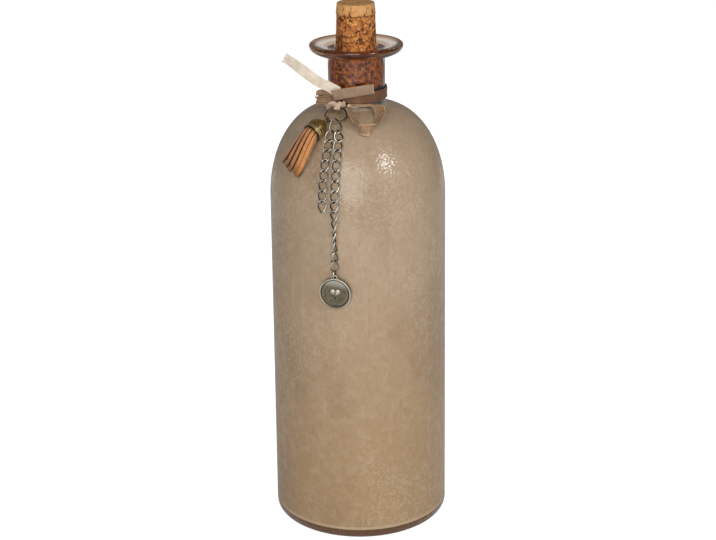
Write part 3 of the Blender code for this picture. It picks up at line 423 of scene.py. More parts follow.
def finished(piece, *modifiers, smooth=35.0):
    """Applies modifiers, each given as its type and values, and smooths the shading."""
    only(piece)
    for kind, values in modifiers:
        bpy.ops.object.modifier_add(type=kind)
        step = piece.modifiers[-1]
        for key, value in values.items():
            setattr(step, key, value)
        bpy.ops.object.modifier_apply(modifier=step.name)
    bpy.ops.object.shade_smooth_by_angle(angle=math.radians(smooth))
    return piece


def subdivided(levels=1):
    return ("SUBSURF", {"levels": levels, "render_levels": levels})


def thickened(thickness, offset=0.0, **values):
    return ("SOLIDIFY", {"thickness": thickness, "offset": offset, **values})


def rounded(width, segments):
    return ("BEVEL", {"width": width, "segments": segments, "limit_method": "ANGLE",
                      "angle_limit": math.radians(30.0)})


def roughened(name, strength, size, middle, **values):
    """A displacement by a procedural texture of clouds."""
    texture = bpy.data.textures.new(name, "CLOUDS")
    texture.noise_scale = size
    return ("DISPLACE", {"texture": texture, "strength": strength, "mid_level": middle,
                         "texture_coords": "LOCAL", **values})


def dress(piece, body, slot, *materials):
    """Gives a finished piece its materials and its body. The slot is not used."""
    if materials:
        piece.data.materials.clear()
        for material in materials:
            piece.data.materials.append(material)
    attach(piece, body)
    nothing_selected()


def as_ribbon(strip, share, slot, finish, offset=0.0, smooth=CREASE_ANGLE):
    """Gives a strip of ribbon a share of the full thickness, soft creases and its finish."""
    finished(strip, thickened(RIBBON_THICKNESS * share, offset), subdivided(), smooth=smooth)
    dress(strip, "bottle_and_ribbon", slot, finish)


def placement(across, face, down, place):
    matrix = Matrix((across, face, -down)).transposed().to_4x4()
    matrix.translation = place
    return matrix


def cap_place():
    return placement(TASSEL_ACROSS, TASSEL_FACE, TASSEL_DOWN, CROWN)


def put(piece, matrix):
    """Moves a piece that was made at the origin, and applies the move to its mesh."""
    only(piece)
    piece.matrix_world = matrix
    bpy.ops.object.transform_apply(location=True, rotation=True, scale=True)


def arc(centre, radii, start, end, count):
    """Points on an arc in degrees, of a circle with one radius or an oval with two."""
    wide, tall = radii if isinstance(radii, tuple) else (radii, radii)
    angles = np.radians(np.linspace(start, end, count))
    return [(centre[0] + wide * math.cos(a), centre[1] + tall * math.sin(a)) for a in angles]


def line(start, end, count):
    """Evenly spaced points after the start, up to the end."""
    shares = np.linspace(0, 1, count + 1)[1:]
    return [(start[0] + (end[0] - start[0]) * s, start[1] + (end[1] - start[1]) * s) for s in shares]


def run(outline, *stops):
    """Carries an outline on along straight lines: each stop is a point and its count of steps."""
    for stop, count in stops:
        outline = outline + line(outline[-1], stop, count)
    return outline


def turned(name, outline, steps):
    """A solid of revolution: a plane, merged to one point, is extruded along the outline and spun."""
    made = added("plane", name, size=MM)
    edit(made)
    bpy.ops.mesh.select_mode(type="VERT")
    bpy.ops.mesh.merge(type="CENTER")
    bpy.ops.transform.translate(value=(outline[0][0], 0.0, outline[0][1]))
    for (radius, height), (next_radius, next_height) in zip(outline, outline[1:]):
        move = {"value": (next_radius - radius, 0.0, next_height - height)}
        bpy.ops.mesh.extrude_region_move(TRANSFORM_OT_translate=move)
    bpy.ops.mesh.select_all(action="SELECT")
    bpy.ops.mesh.spin(steps=steps, angle=2 * math.pi, center=(0, 0, 0), axis=(0, 0, 1))
    bpy.ops.mesh.select_all(action="SELECT")
    bpy.ops.mesh.remove_doubles(threshold=WELD)
    bpy.ops.mesh.normals_make_consistent(inside=False)
    bpy.ops.object.mode_set(mode="OBJECT")
    return made


def smooth_path(points, steps, closed=False):
    """A Catmull-Rom curve through the points, with so many steps from one to the next."""
    points = [Vector(p) for p in points]
    if closed:
        ends = [points[-1], *points, points[0], points[1]]
    else:
        ends = [2 * points[0] - points[1], *points, 2 * points[-1] - points[-2]]
    path = []
    for a, b, c, d in zip(ends, ends[1:], ends[2:], ends[3:]):
        for t in np.linspace(0, 1, steps, endpoint=False):
            path.append(0.5 * (2 * b + (c - a) * t + (2 * a - 5 * b + 4 * c - d) * t**2
                               + (3 * b - a - 3 * c + d) * t**3))
    path.append(path[0].copy() if closed else points[-1])
    return path


def guided(guides, steps, closed=False):
    return smooth_path([Vector(guide) * MM for guide in guides], steps, closed)


def flow_at(path, row, closed=False):
    """Which way a path runs at one of its points."""
    last = len(path) - 1
    if closed:
        return (path[(row + 1) % last] - path[(row - 1) % last]).normalized()
    return (path[min(row + 1, last)] - path[max(row - 1, 0)]).normalized()


def turn_at(row, rows):
    """The angle at one of the rows of a full turn."""
    return 2 * math.pi * (row % rows) / rows


def rolled(side, degrees, flow):
    return Matrix.Rotation(math.radians(degrees), 3, flow) @ side


def eased(share):
    """A share from 0 to 1 with a soft start and a soft end."""
    return share * share * (3 - 2 * share)


def near(share, middle, reach):
    """1 at the middle, falling evenly to 0 at the reach."""
    return max(0.0, 1 - abs(share - middle) / reach)


def woven_strip(name, centres, sides, widths, columns, lift=None):
    """A flat grid laid along its centres. Its UV map runs along it and across it."""
    rows = len(centres) - 1
    made = added("grid", name, x_subdivisions=rows, y_subdivisions=columns, size=2.0, calc_uvs=True)
    for vertex in made.data.vertices:
        row = round((vertex.co.x + 1) / 2 * rows)
        share = vertex.co.y / 2
        place = centres[row] + sides[row] * (widths[row] * share)
        if lift:
            place = place + lift(row / rows, share)
        vertex.co = place
    if (centres[0] - centres[-1]).length < WELD:
        edit(made)
        bpy.ops.mesh.remove_doubles(threshold=WELD)
        bpy.ops.object.mode_set(mode="OBJECT")
    made.data.update()
    return made


def shoulder_normal(point):
    """The outward normal of the shoulder beneath a point."""
    reach = SHOULDER_RADIUS - NECK_RADIUS
    flat = Vector((point.x, point.y, 0.0))
    steep = (flat.length - NECK_RADIUS) / reach**2
    rise = max(point.z - SHOULDER_START, 0.0) / SHOULDER_RISE**2
    return (flat.normalized() * steep + UP * rise).normalized()


def ripple(point, size, seed=0.0):
    """A smooth uneven offset for creases, the same on every run."""
    place = point / size + Vector((seed, seed, seed))
    return Vector([noise.noise(place + Vector(shift)) for shift in RIPPLE_SHIFTS])


# Finishes


class Nodes:
    """A tree of nodes, with a short way to add each kind that is needed here."""

    def __init__(self, tree):
        self.tree = tree

    def join(self, socket, value):
        """Links a socket to another one, or sets its own value."""
        if isinstance(value, bpy.types.NodeSocket):
            self.tree.links.new(value, socket)
        elif value is not None:
            socket.default_value = value

    def node(self, kind, sockets, **values):
        """A new node with its own values set and its sockets joined."""
        made = self.tree.nodes.new("ShaderNode" + kind)
        for key, value in values.items():
            setattr(made, key, value)
        for socket, value in sockets.items():
            self.join(made.inputs[socket], value)
        return made

    def coordinates(self, scale=(1.0, 1.0, 1.0), source="Object", centre=(0.0, 0.0, 0.0),
                    turn=(0.0, 0.0, 0.0)):
        kind = "TEXTURE" if any(centre) or any(turn) else "POINT"
        sockets = {"Vector": self.node("TexCoord", {}).outputs[source], "Location": centre,
                   "Rotation": turn, "Scale": scale}
        return self.node("Mapping", sockets, vector_type=kind).outputs["Vector"]

    def seen_from(self, matrix):
        """Coordinates as seen from a placed piece."""
        return self.coordinates(centre=tuple(matrix.translation), turn=tuple(matrix.to_euler()))

    def noise(self, vector, scale, detail=4.0, roughness=0.5, distortion=0.0):
        sockets = {"Vector": vector, "Scale": scale, "Detail": detail, "Roughness": roughness,
                   "Distortion": distortion}
        return self.node("TexNoise", sockets).outputs["Fac"]

    def cells(self, vector, scale):
        """Cells, each with its own flat colour."""
        return self.node("TexVoronoi", {"Vector": vector, "Scale": scale}).outputs["Color"]

    def wave(self, vector, scale, direction, distortion):
        sockets = {"Vector": vector, "Scale": scale, "Distortion": distortion, "Detail": 1.0}
        return self.node("TexWave", sockets, bands_direction=direction).outputs["Fac"]

    def ramp(self, factor, *stops):
        """A smooth step or a run of greys or colours: stops are (place, value)."""
        node = self.node("ValToRGB", {"Fac": factor})
        node.color_ramp.interpolation = "EASE"
        points = node.color_ramp.elements
        while len(points) < len(stops):
            points.new(0.5)
        for point, (place, value) in zip(points, stops):
            point.position = place
            point.color = (value, value, value, 1.0) if isinstance(value, float) else (*value, 1.0)
        return node.outputs["Color"]

    def mix(self, factor, first, second):
        node = self.node("Mix", {"Factor": factor}, data_type="RGBA")
        for socket, value in ((6, first), (7, second)):
            linked = isinstance(value, bpy.types.NodeSocket)
            self.join(node.inputs[socket], value if linked else (*value, 1.0))
        return node.outputs[2]

    def over(self, tone, colour, factor, *stops):
        """A colour laid over a tone as far as the ramp of a factor says."""
        return self.mix(self.ramp(factor, *stops), tone, colour)

    def maths(self, operation, *values):
        return self.node("Math", dict(enumerate(values)), operation=operation).outputs["Value"]

    def split(self, vector, part):
        return self.node("SeparateXYZ", {"Vector": vector}).outputs[part]

    def from_axis(self):
        """How far out from the bottle's axis, as a share of the lip's radius."""
        flat = self.coordinates((1.0, 1.0, 0.0))
        out = self.node("VectorMath", {0: flat}, operation="LENGTH").outputs["Value"]
        return self.maths("DIVIDE", out, LIP_RADIUS)

    def bump(self, height, distance, strength, before=None):
        sockets = {"Strength": strength, "Distance": distance, "Height": height, "Normal": before}
        return self.node("Bump", sockets).outputs["Normal"]

    def seen(self):
        """1 for a ray from the camera, straight or through glass, and 0 for any other."""
        rays = self.node("LightPath", {}).outputs
        return self.maths("MAXIMUM", rays["Is Camera Ray"], rays["Is Transmission Ray"])


class Finish(Nodes):
    """A material whose shader takes fixed values by the names of its sockets."""

    def __init__(self, name, colour, **fixed):
        self.material = bpy.data.materials.new(name)
        self.material.use_nodes = True
        self.material.diffuse_color = (*colour, 1.0)
        super().__init__(self.material.node_tree)
        self.shader = self.tree.nodes["Principled BSDF"]
        self.drive("Base Color", (*colour, 1.0))
        for socket, value in fixed.items():
            self.drive(socket.replace("_", " "), value)

    def drive(self, socket, value):
        self.join(self.shader.inputs[socket], value)

    def completed(self, tone, relief):
        """Joins the tone and the relief to the shader and gives the finished material."""
        self.drive("Base Color", tone)
        self.drive("Normal", relief)
        return self.material


def coated_glass(settings):
    """Frosted taupe coat with a soft ragged edge, past which the glass is bare."""
    finish = Finish("frosted_coat", settings.coat, Coat_Weight=0.60, Coat_Roughness=0.08, IOR=1.5,
                    Specular_IOR_Level=0.35)
    place = finish.coordinates()
    height = finish.split(place, "Z")
    broad = finish.noise(finish.coordinates((1.0, 1.0, 0.5)), 26.0, 2.0)
    patches = finish.noise(place, 170.0, 6.0, 0.66, 0.3)
    streaks = finish.noise(finish.coordinates((1.0, 1.0, 0.03)), 360.0, 3.0, 0.6)
    brush = finish.noise(finish.coordinates((1.0, 1.0, 0.30)), 800.0, 4.0, 0.62)
    grain = finish.noise(place, 1500.0, 3.0, 0.6)
    pimples = finish.noise(place, 640.0, 1.0, 0.4)
    rise = finish.maths("DIVIDE", height, 200.0 * MM)
    tone = finish.over(settings.coat_low, settings.coat, rise, (0.1, 0.0), (1.0, 1.0))
    tone = finish.over(tone, settings.coat_dark, broad, (0.36, 0.30), (0.52, 0.0))
    tone = finish.over(tone, settings.pale_coat_and_foot_highlight, patches, (0.44, 0.0), (0.68, 0.30))
    tone = finish.over(tone, settings.coat_dark, brush, (0.30, 0.28), (0.50, 0.0))
    tone = finish.over(tone, settings.fleck, streaks, (0.58, 0.0), (0.74, 0.20))
    specks = finish.maths("MULTIPLY", finish.ramp(grain, (0.62, 0.0), (0.74, 0.5)),
                          finish.ramp(patches, (0.46, 0.0), (0.60, 1.0)))
    where = finish.ramp(finish.noise(place, 17.0, 1.0), (0.44, 0.0), (0.58, 1.0))
    mottle = finish.maths("MULTIPLY", where, finish.ramp(pimples, (0.45, 0.0), (0.70, 0.24)))
    for pale_marks in (specks, mottle):
        tone = finish.mix(pale_marks, tone, settings.fleck)
    ragged = finish.maths("MULTIPLY_ADD", finish.noise(place, 180.0, 3.0), 2.4 * MM, height)
    ends = finish.maths("SUBTRACT", ragged, settings.coat_edge)
    bare_top = finish.ramp(finish.maths("DIVIDE", ends, 3.0 * MM), (0.0, 0.0), (1.0, 1.0))
    foot = finish.maths("DIVIDE", height, settings.coat_foot * 2)
    bare_foot = finish.ramp(foot, (0.47, 1.0), (0.51, 0.0))
    # Painted highlight: a pale line along the foot of the coat, just above the bare heel.
    tone = finish.over(tone, settings.pale_coat_and_foot_highlight, foot, (0.50, 0.0), (0.53, 0.8), (0.60, 0.8), (0.66, 0.0))
    bare = finish.maths("MAXIMUM", bare_top, bare_foot)
    tint = finish.over(settings.glass, settings.thick_glass, finish.from_axis(), (0.80, 0.0), (0.98, 1.0))
    rough = finish.ramp(patches, (0.30, 0.66), (0.70, 0.50))
    finish.drive("Roughness", finish.mix(bare, rough, (0.20, 0.20, 0.20)))
    clear_top = finish.maths("MULTIPLY", bare_top, 0.86)
    finish.drive("Transmission Weight", finish.maths("MULTIPLY_ADD", bare_foot, 0.4, clear_top))
    relief = finish.bump(grain, 0.04 * MM, 0.6)
    relief = finish.bump(pimples, 0.34 * MM, 0.72, relief)
    relief = finish.bump(patches, 0.30 * MM, 0.4, relief)
    finish.drive("Coat Normal", relief)
    return finish.completed(finish.mix(bare, tone, tint), relief)


def clear_glass(settings):
    """Bare grey-brown glass, slightly uneven, which lets the lamps through."""
    finish = Finish("clear_glass", settings.glass, Roughness=0.12, IOR=1.5, Transmission_Weight=1.0)
    outward = finish.from_axis()
    tint = finish.over(settings.glass, settings.brim_glass, outward, (0.62, 0.0), (0.74, 1.0))
    tint = finish.over(tint, settings.thick_glass, outward, (0.80, 0.0), (0.97, 1.0))
    uneven = finish.noise(finish.coordinates((1.0, 1.0, 0.5)), 60.0, 2.0)
    shadow = finish.node("LightPath", {}).outputs["Is Shadow Ray"]
    clear = finish.node("BsdfTransparent", {"Color": GLASS_SHADOW}).outputs["BSDF"]
    either = finish.node("MixShader", {"Fac": shadow, 1: finish.shader.outputs["BSDF"], 2: clear})
    finish.join(finish.tree.nodes["Material Output"].inputs["Surface"], either.outputs["Shader"])
    return finish.completed(tint, finish.bump(uneven, 0.4 * MM, 0.25))


def pressed_cork(settings):
    """Granules of several browns pressed together, with bark between some of them."""
    finish = Finish("pressed_cork", settings.body, Roughness=0.8, Specular_IOR_Level=0.3)
    body, dark, pale = settings.body, settings.body_dark, settings.body_pale
    place = finish.coordinates()
    crumbs = finish.noise(place, 430.0, 6.0, 0.72, 0.9)
    granules = finish.split(finish.cells(place, 620.0), "X")
    bark = finish.noise(place, 1300.0, 5.0, 0.75, 0.6)
    streaks = finish.noise(finish.coordinates((1.0, 1.0, 0.16)), 210.0, 3.0, 0.6)
    tone = finish.ramp(crumbs, (0.41, dark), (0.48, body), (0.53, body), (0.60, pale))
    tone = finish.over(tone, dark, granules, (0.14, 0.70), (0.28, 0.0))
    tone = finish.over(tone, pale, granules, (0.76, 0.0), (0.92, 0.40))
    tone = finish.over(tone, dark, bark, (0.50, 0.0), (0.66, 0.70))
    tone = finish.over(tone, dark, streaks, (0.56, 0.0), (0.70, 0.6))
    relief = finish.bump(crumbs, 0.6 * MM, 0.8)
    return finish.completed(tone, finish.bump(bark, 0.25 * MM, 0.8, relief))


def natural_cork(settings):
    """Fine-grained cork with soft mottling and dark pits low on its side."""
    finish = Finish("natural_cork", settings.disc, Roughness=0.8, Specular_IOR_Level=0.25)
    place = finish.coordinates()
    mottle = finish.noise(place, 260.0, 5.0, 0.65)
    tone = finish.ramp(mottle, (0.30, paint(176, 118, 66)), (0.52, settings.disc),
                       (0.75, paint(224, 178, 122)))
    pits = finish.noise(finish.coordinates((1.0, 1.0, 0.4)), 520.0, 3.0, 0.6)
    above = finish.maths("SUBTRACT", finish.split(place, "Z"), CORK_TOP - CORK_DISC_HEIGHT)
    low = finish.ramp(finish.maths("DIVIDE", above, 3.5 * MM), (0.0, 0.10), (1.0, 0.0))
    marks = finish.ramp(finish.maths("ADD", pits, low), (0.60, 0.0), (0.68, 1.0))
    tone = finish.mix(marks, tone, settings.disc_dark)
    relief = finish.bump(finish.maths("SUBTRACT", 1.0, marks), 0.35 * MM, 0.7)
    return finish.completed(tone, finish.bump(mottle, 0.2 * MM, 0.6, relief))


def ribbon_finish(name, colour, pitch, length, roughness, sheen, clearness=1.0, rim=1.18):
    """Ribbed satin ribbon: the ribs run across it, and its UV map gives along and across. Its edges and ends
    are lighter, by rim times its colour: a painted highlight.
    """
    finish = Finish(name, colour, Roughness=roughness, Sheen_Weight=sheen, Sheen_Roughness=0.35,
                    Specular_IOR_Level=0.4, Alpha=clearness)
    ribs = finish.coordinates((length / pitch, RIBBON_WIDTH / pitch, 1.0), "UV")
    across = finish.wave(ribs, 1 / math.pi, "X", 0.4)
    along = finish.wave(ribs, 0.5 / math.pi, "Y", 0.3)
    weave = finish.maths("MULTIPLY", across, finish.maths("MULTIPLY_ADD", along, 0.4, 0.6))
    clouds = finish.noise(finish.coordinates(), 240.0, 4.0, 0.6)
    layout = finish.coordinates(source="UV")
    ends, edges = [finish.maths("ABSOLUTE", finish.maths("SUBTRACT", finish.split(layout, axis), 0.5))
                   for axis in "XY"]
    deeper = [0.62 * share for share in colour]
    highlighted = [min(1.0, rim * share) for share in colour]
    tone = finish.over(colour, deeper, clouds, (0.35, 0.55), (0.60, 0.0))
    tone = finish.over(tone, deeper, weave, (0.0, 0.35), (0.6, 0.0))
    # Painted highlight along the edges and at the cut ends.
    tone = finish.over(tone, highlighted, edges, (0.41, 0.0), (0.48, 0.7))
    tone = finish.over(tone, highlighted, ends, (0.47, 0.0), (0.492, 0.8))
    relief = finish.bump(weave, 0.06 * MM, 0.7)
    return finish.completed(tone, finish.bump(clouds, 0.3 * MM, 0.35, relief))


def metal_finish(name, colour, patina_and_shade, roughness, wear, shaded_insides=0.0):
    """Plated metal with dark patina in patches, the same dark painted on its inner sides as painted shade,
    and fine scratches.
    """
    finish = Finish(name, colour, Metallic=1.0)
    patches = finish.noise(finish.coordinates(), 300.0, 5.0, 0.65)
    scratches = finish.noise(finish.coordinates((1.0, 0.25, 1.0)), 2600.0, 2.0)
    tone = finish.over(colour, patina_and_shade, patches, (0.42, 0.0), (0.66, wear))
    if shaded_insides:
        # Painted shade: the sides that face the middle of the link are darkened.
        noted = finish.node("Attribute", {}, attribute_name="facing_in").outputs["Fac"]
        tone = finish.over(tone, patina_and_shade, noted, (0.34, 0.0), (0.56, shaded_insides))
    uneven = finish.maths("MULTIPLY_ADD", patches, 0.25, roughness - 0.10)
    finish.drive("Roughness", finish.maths("MULTIPLY_ADD", scratches, 0.10, uneven))
    relief = finish.bump(scratches, 0.02 * MM, 0.5)
    return finish.completed(tone, finish.bump(patches, 0.10 * MM, 0.4, relief))


def bronze_finish(settings):
    """Antique bronze: a smooth dark dome, darker toward the rim, and a painted highlight as two bright bands
    in the grooves above the rim.
    """
    finish = Finish("antique_bronze", settings.bronze, Metallic=1.0)
    along = finish.split(finish.seen_from(cap_place()), "Z")
    up_from_rim = finish.maths("DIVIDE", finish.maths("ADD", along, CAP_LENGTH), 4.0 * MM)
    patches = finish.noise(finish.coordinates(), 420.0, 4.0, 0.6)
    tone = finish.over(settings.bronze, settings.patina_and_shade, patches, (0.46, 0.0), (0.74, 0.16))
    # Painted highlight: two bright bands, in the two grooves above the rim.
    groove_highlights = finish.ramp(up_from_rim, (0.0, 0.0), (0.19, 0.0), (0.24, 1.0), (0.38, 1.0), (0.42, 0.0),
                        (0.50, 0.0), (0.54, 1.0), (0.64, 1.0), (0.70, 0.0), (0.76, 0.3))
    # Darker toward the rim.
    low = finish.ramp(up_from_rim, (0.78, 1.0), (0.92, 0.0))
    tone = finish.mix(finish.maths("MULTIPLY", low, 0.85), tone, settings.patina_and_shade)
    tone = finish.mix(finish.maths("MULTIPLY", groove_highlights, low), tone, settings.rubbed)
    finish.drive("Roughness", finish.ramp(patches, (0.35, 0.27), (0.65, 0.33)))
    return finish.completed(tone, finish.bump(patches, 0.03 * MM, 0.3))


def pewter_finish(settings):
    """Antique pewter: the floor of the recess is dark, what is raised is rubbed bright."""
    finish = Finish("antique_pewter", settings.pewter, Metallic=1.0)
    place = finish.seen_from(placement(CHARM_ACROSS, CHARM_DOWN, -CHARM_NORMAL, CHARM_MIDDLE))
    across, up, deep = [finish.split(place, axis) for axis in "XYZ"]
    above = finish.maths("SUBTRACT", finish.maths("ABSOLUTE", deep), CHARM_THICKNESS / 2 - CHARM_RECESS)
    sunk = finish.maths("DIVIDE", above, CHARM_RECESS)
    patches = finish.noise(finish.coordinates(), 420.0, 5.0, 0.7)
    worn = finish.maths("ADD", sunk, finish.maths("MULTIPLY_ADD", patches, 0.3, -0.15))
    rubbed = finish.ramp(worn, (0.20, 0.0), (0.60, 1.0))
    square = [finish.maths("MULTIPLY", side, side) for side in (across, up)]
    outward = finish.maths("DIVIDE", finish.maths("SQRT", finish.maths("ADD", *square)), CHARM_RADIUS)
    dark = finish.over(paint(132, 122, 102), paint(92, 84, 66), patches, (0.4, 0.0), (0.7, 1.0))
    tone = finish.mix(rubbed, dark, settings.pewter)
    deep_patina = [0.5 * share for share in settings.patina_and_shade]
    tone = finish.over(tone, deep_patina, outward, (0.83, 0.0), (0.87, 0.9), (0.905, 0.9), (0.925, 0.0))
    finish.drive("Roughness", finish.ramp(rubbed, (0.0, 0.55), (1.0, 0.40)))
    return finish.completed(tone, finish.bump(patches, 0.12 * MM, 0.5))


def suede_finish(name, colour, shade):
    """Suede with a short nap: soft blotches, fine fibre, no shine, painted shade where the strips leave the
    cap, and darker at the tips.
    """
    finish = Finish(name, colour, Roughness=0.95, Sheen_Weight=0.35, Sheen_Roughness=0.5,
                    Specular_IOR_Level=0.15)
    place = finish.coordinates()
    blotches = finish.noise(place, 320.0, 4.0, 0.6)
    fibre = finish.noise(place, 2200.0, 3.0, 0.7)
    along = finish.split(finish.coordinates(source="UV"), "X")
    tone = finish.over(colour, shade, blotches, (0.32, 0.6), (0.58, 0.0))
    tone = finish.over(tone, shade, fibre, (0.30, 0.45), (0.55, 0.0))
    # Painted shade at the root, where the strips leave the cap; darker at the tips.
    tone = finish.over(tone, [0.42 * share for share in shade], along, (0.10, 0.7), (0.34, 0.0),
                       (0.84, 0.0), (0.99, 0.75))
    return finish.completed(tone, finish.bump(fibre, 0.12 * MM, 0.8))


# Pieces


def bottle_outline():
    """From the middle of the floor up the inside, over the lip and down the outside."""
    edge = GLASS_HEIGHT - LIP_EDGE_RADIUS
    inner_radius = BODY_RADIUS - WALL
    inner_shoulder = (SHOULDER_RADIUS - WALL - BORE_RADIUS, SHOULDER_RISE - WALL)
    shoulder = (SHOULDER_RADIUS - NECK_RADIUS, SHOULDER_RISE)
    under_lip = (NECK_RADIUS + LIP_FILLET, edge)
    share = NECK_FOOT_FILLET / shoulder[0]
    foot = SHOULDER_START + SHOULDER_RISE * math.sqrt(1 - share**2) + NECK_FOOT_FILLET
    outline = [(0.0, FLOOR_HEIGHT)]
    outline += arc((inner_radius - INNER_HEEL_RADIUS, FLOOR_HEIGHT + INNER_HEEL_RADIUS),
                   INNER_HEEL_RADIUS, -90, 0, 9)
    outline += arc((BORE_RADIUS, SHOULDER_START), inner_shoulder, 0, 90, 24)
    outline += arc((BORE_RADIUS + MOUTH_ROUND, MOUTH - MOUTH_ROUND), MOUTH_ROUND, 180, 90, 7)
    outline += arc((LIP_RADIUS - LIP_EDGE_RADIUS, edge), LIP_EDGE_RADIUS, 115, 10, 9)
    outline += arc(under_lip, (LIP_RADIUS - under_lip[0], LIP_DEPTH - LIP_EDGE_RADIUS), 0, -78, 12)
    outline += arc((under_lip[0], GLASS_HEIGHT - LIP_DEPTH - LIP_FILLET), LIP_FILLET, 110, 180, 5)
    outline += line(outline[-1], (NECK_RADIUS, foot), 6)[:-1]
    outline += arc((NECK_RADIUS + NECK_FOOT_FILLET, foot), NECK_FOOT_FILLET, 180, 264, 8)
    outline += arc((NECK_RADIUS, SHOULDER_START), shoulder, 83, 0, 40)
    outline += line(outline[-1], (BODY_RADIUS, HEEL_RADIUS), 24)[:-1]
    outline += arc((BODY_RADIUS - HEEL_RADIUS, HEEL_RADIUS), HEEL_RADIUS, 0, -90, 10)
    outline += arc((0.0, 0.0), (BEARING_RADIUS, PUSH_UP), 0, 90, 12)
    return outline


def make_bottle(settings):
    bottle = turned("glass_bottle", bottle_outline(), GLASS_STEPS)
    finished(bottle)
    dress(bottle, "bottle_and_ribbon", "frosted_glass", clear_glass(settings), coated_glass(settings))
    middle = Vector((0.0, 0.0, GLASS_HEIGHT / 3))
    for face in bottle.data.polygons:
        outside = face.normal.dot(face.center - middle) > 0
        face.material_index = int(outside and face.center.z < COAT_TOP)
    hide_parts("bottle")


def make_cork(settings):
    """The tapered cork, pitted above the mouth and pressed smooth below it, and its disc."""
    fit_radius = BORE_RADIUS - CORK_CLEARANCE
    joint = CORK_TOP - CORK_DISC_HEIGHT
    joint_radius = fit_radius - CORK_TAPER * (joint - MOUTH) / (CORK_TOP - MOUTH)
    foot_radius = fit_radius - CORK_FOOT_TAPER - SEAT_GAP
    body = run([(0.0, joint)], ((joint_radius, joint), 6), ((fit_radius, MOUTH), 20),
               ((PRESSED_RADIUS, MOUTH - MOUTH_ROUND * 1.5), 2),
               ((PRESSED_RADIUS, CORK_END + 4 * SEAT_GAP), 22), ((foot_radius, CORK_END), 3),
               ((0.0, CORK_END), 6))
    cork = turned("pressed_cork", body, CORK_STEPS)
    finished(cork)
    above = [vertex.index for vertex in cork.data.vertices if vertex.co.z > MOUTH]
    cork.vertex_groups.new(name="pitted").add(above, 1.0, "REPLACE")
    finished(cork, roughened("cork_pits", -0.35 * MM, 1.3 * MM, 0.35, vertex_group="pitted"))
    dress(cork, "cork", "cork_granules", pressed_cork(settings))
    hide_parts("cork_body")
    soft = SEAT_GAP * 2
    flat = fit_radius - CORK_TAPER - soft
    disc = run([(0.0, CORK_TOP)], ((flat, CORK_TOP), 12)) + arc((flat, CORK_TOP - soft), soft, 70, 0, 4)
    disc = run(disc, ((joint_radius + SEAT_GAP, joint + SEAT_GAP), 8), ((0.0, joint + SEAT_GAP), 6))
    top = turned("cork_disc", disc, CORK_STEPS)
    finished(top, roughened("disc_pits", -0.25 * MM, 1.1 * MM, 0.4))
    dress(top, "cork", "natural_cork", natural_cork(settings))
    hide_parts("cork_top_disc")


def make_band(finish):
    """The turn round the neck, with soft uneven creases."""
    centres = []
    for row in range(BAND_ROWS + 1):
        a = turn_at(row, BAND_ROWS)
        crease = 0.22 * math.sin(a * 5) + 0.16 * math.sin(a * 11 + 1.0)
        out = Vector((math.sin(a), -math.cos(a), 0.0))
        centres.append(out * (BAND_RADIUS + crease * MM) + UP * (BAND_FOOT + RIBBON_WIDTH / 2))

    def lift(share, across):
        a = turn_at(round(share * BAND_ROWS), BAND_ROWS)
        out = Vector((math.sin(a), -math.cos(a), 0.0))
        fold = math.sin(across * 9 + 3 * math.sin(a * 2))
        return out * (0.14 * MM * fold) + UP * (0.35 * MM * math.sin(a * 3 + 1) * (0.5 - abs(across)))

    count = BAND_ROWS + 1
    band = woven_strip("neck_band", centres, [UP] * count, [RIBBON_WIDTH] * count, 8, lift)
    as_ribbon(band, 0.8, "taupe_ribbon", finish, smooth=50.0)
    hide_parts("ribbon_neck_band")


def make_knot(finish):
    """A gathered knot: pleats that stand out all round and fan from its pinched right-hand end."""
    turn = math.radians(KNOT_TURN)
    across = Vector((math.cos(turn), math.sin(turn), 0.0))
    deep = Vector((math.sin(turn), -math.cos(turn), 0.0))
    reach, depth, tall = KNOT_SIZE
    core = added("uv_sphere", "knot_core", segments=48, ring_count=20, radius=1.0)
    for vertex in core.data.vertices:
        x, y, z = vertex.co
        vertex.co = (KNOT_MIDDLE + across * (z * reach * KNOT_CORE_LENGTH)
                     + (deep * (x * depth) + UP * (y * tall)) * KNOT_CORE_GIRTH)
    pieces = [finished(core)]
    for number in range(KNOT_FOLDS):
        angle = 2 * math.pi * (number + 0.3) / KNOT_FOLDS
        wobble = ripple(Vector((number * 1.9, 1.3, 0.2)), 1.0)
        way = deep * (math.cos(angle) * depth) + UP * (math.sin(angle) * tall)
        out = way.normalized()
        around = across.cross(out).normalized()
        lean = around if number % 2 else -around
        centres, sides, widths = [], [], []
        for share in np.linspace(0, 1, 13):
            swell = math.sin(math.pi * (0.10 + 0.66 * share)) ** 0.8
            girth = (0.26 + 0.48 * swell) * (0.90 + 0.20 * share)
            along = reach * (0.98 - (1.95 + 0.22 * wobble.x) * share)
            centres.append(KNOT_MIDDLE + across * along + way * girth)
            sides.append((out + lean * (0.55 + 0.25 * wobble.y)).normalized())
            widths.append((1.0 + 1.9 * swell) * MM * (1.0 + 0.15 * wobble.z))
        fold = woven_strip(f"knot_fold_{number}", centres, sides, widths, 4)
        pieces.append(finished(fold, thickened(RIBBON_THICKNESS * 0.7), subdivided(), smooth=CREASE_ANGLE))
    knot = joined("knot", pieces)
    dress(knot, "bottle_and_ribbon", "taupe_ribbon", finish)
    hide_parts("ribbon_knot")


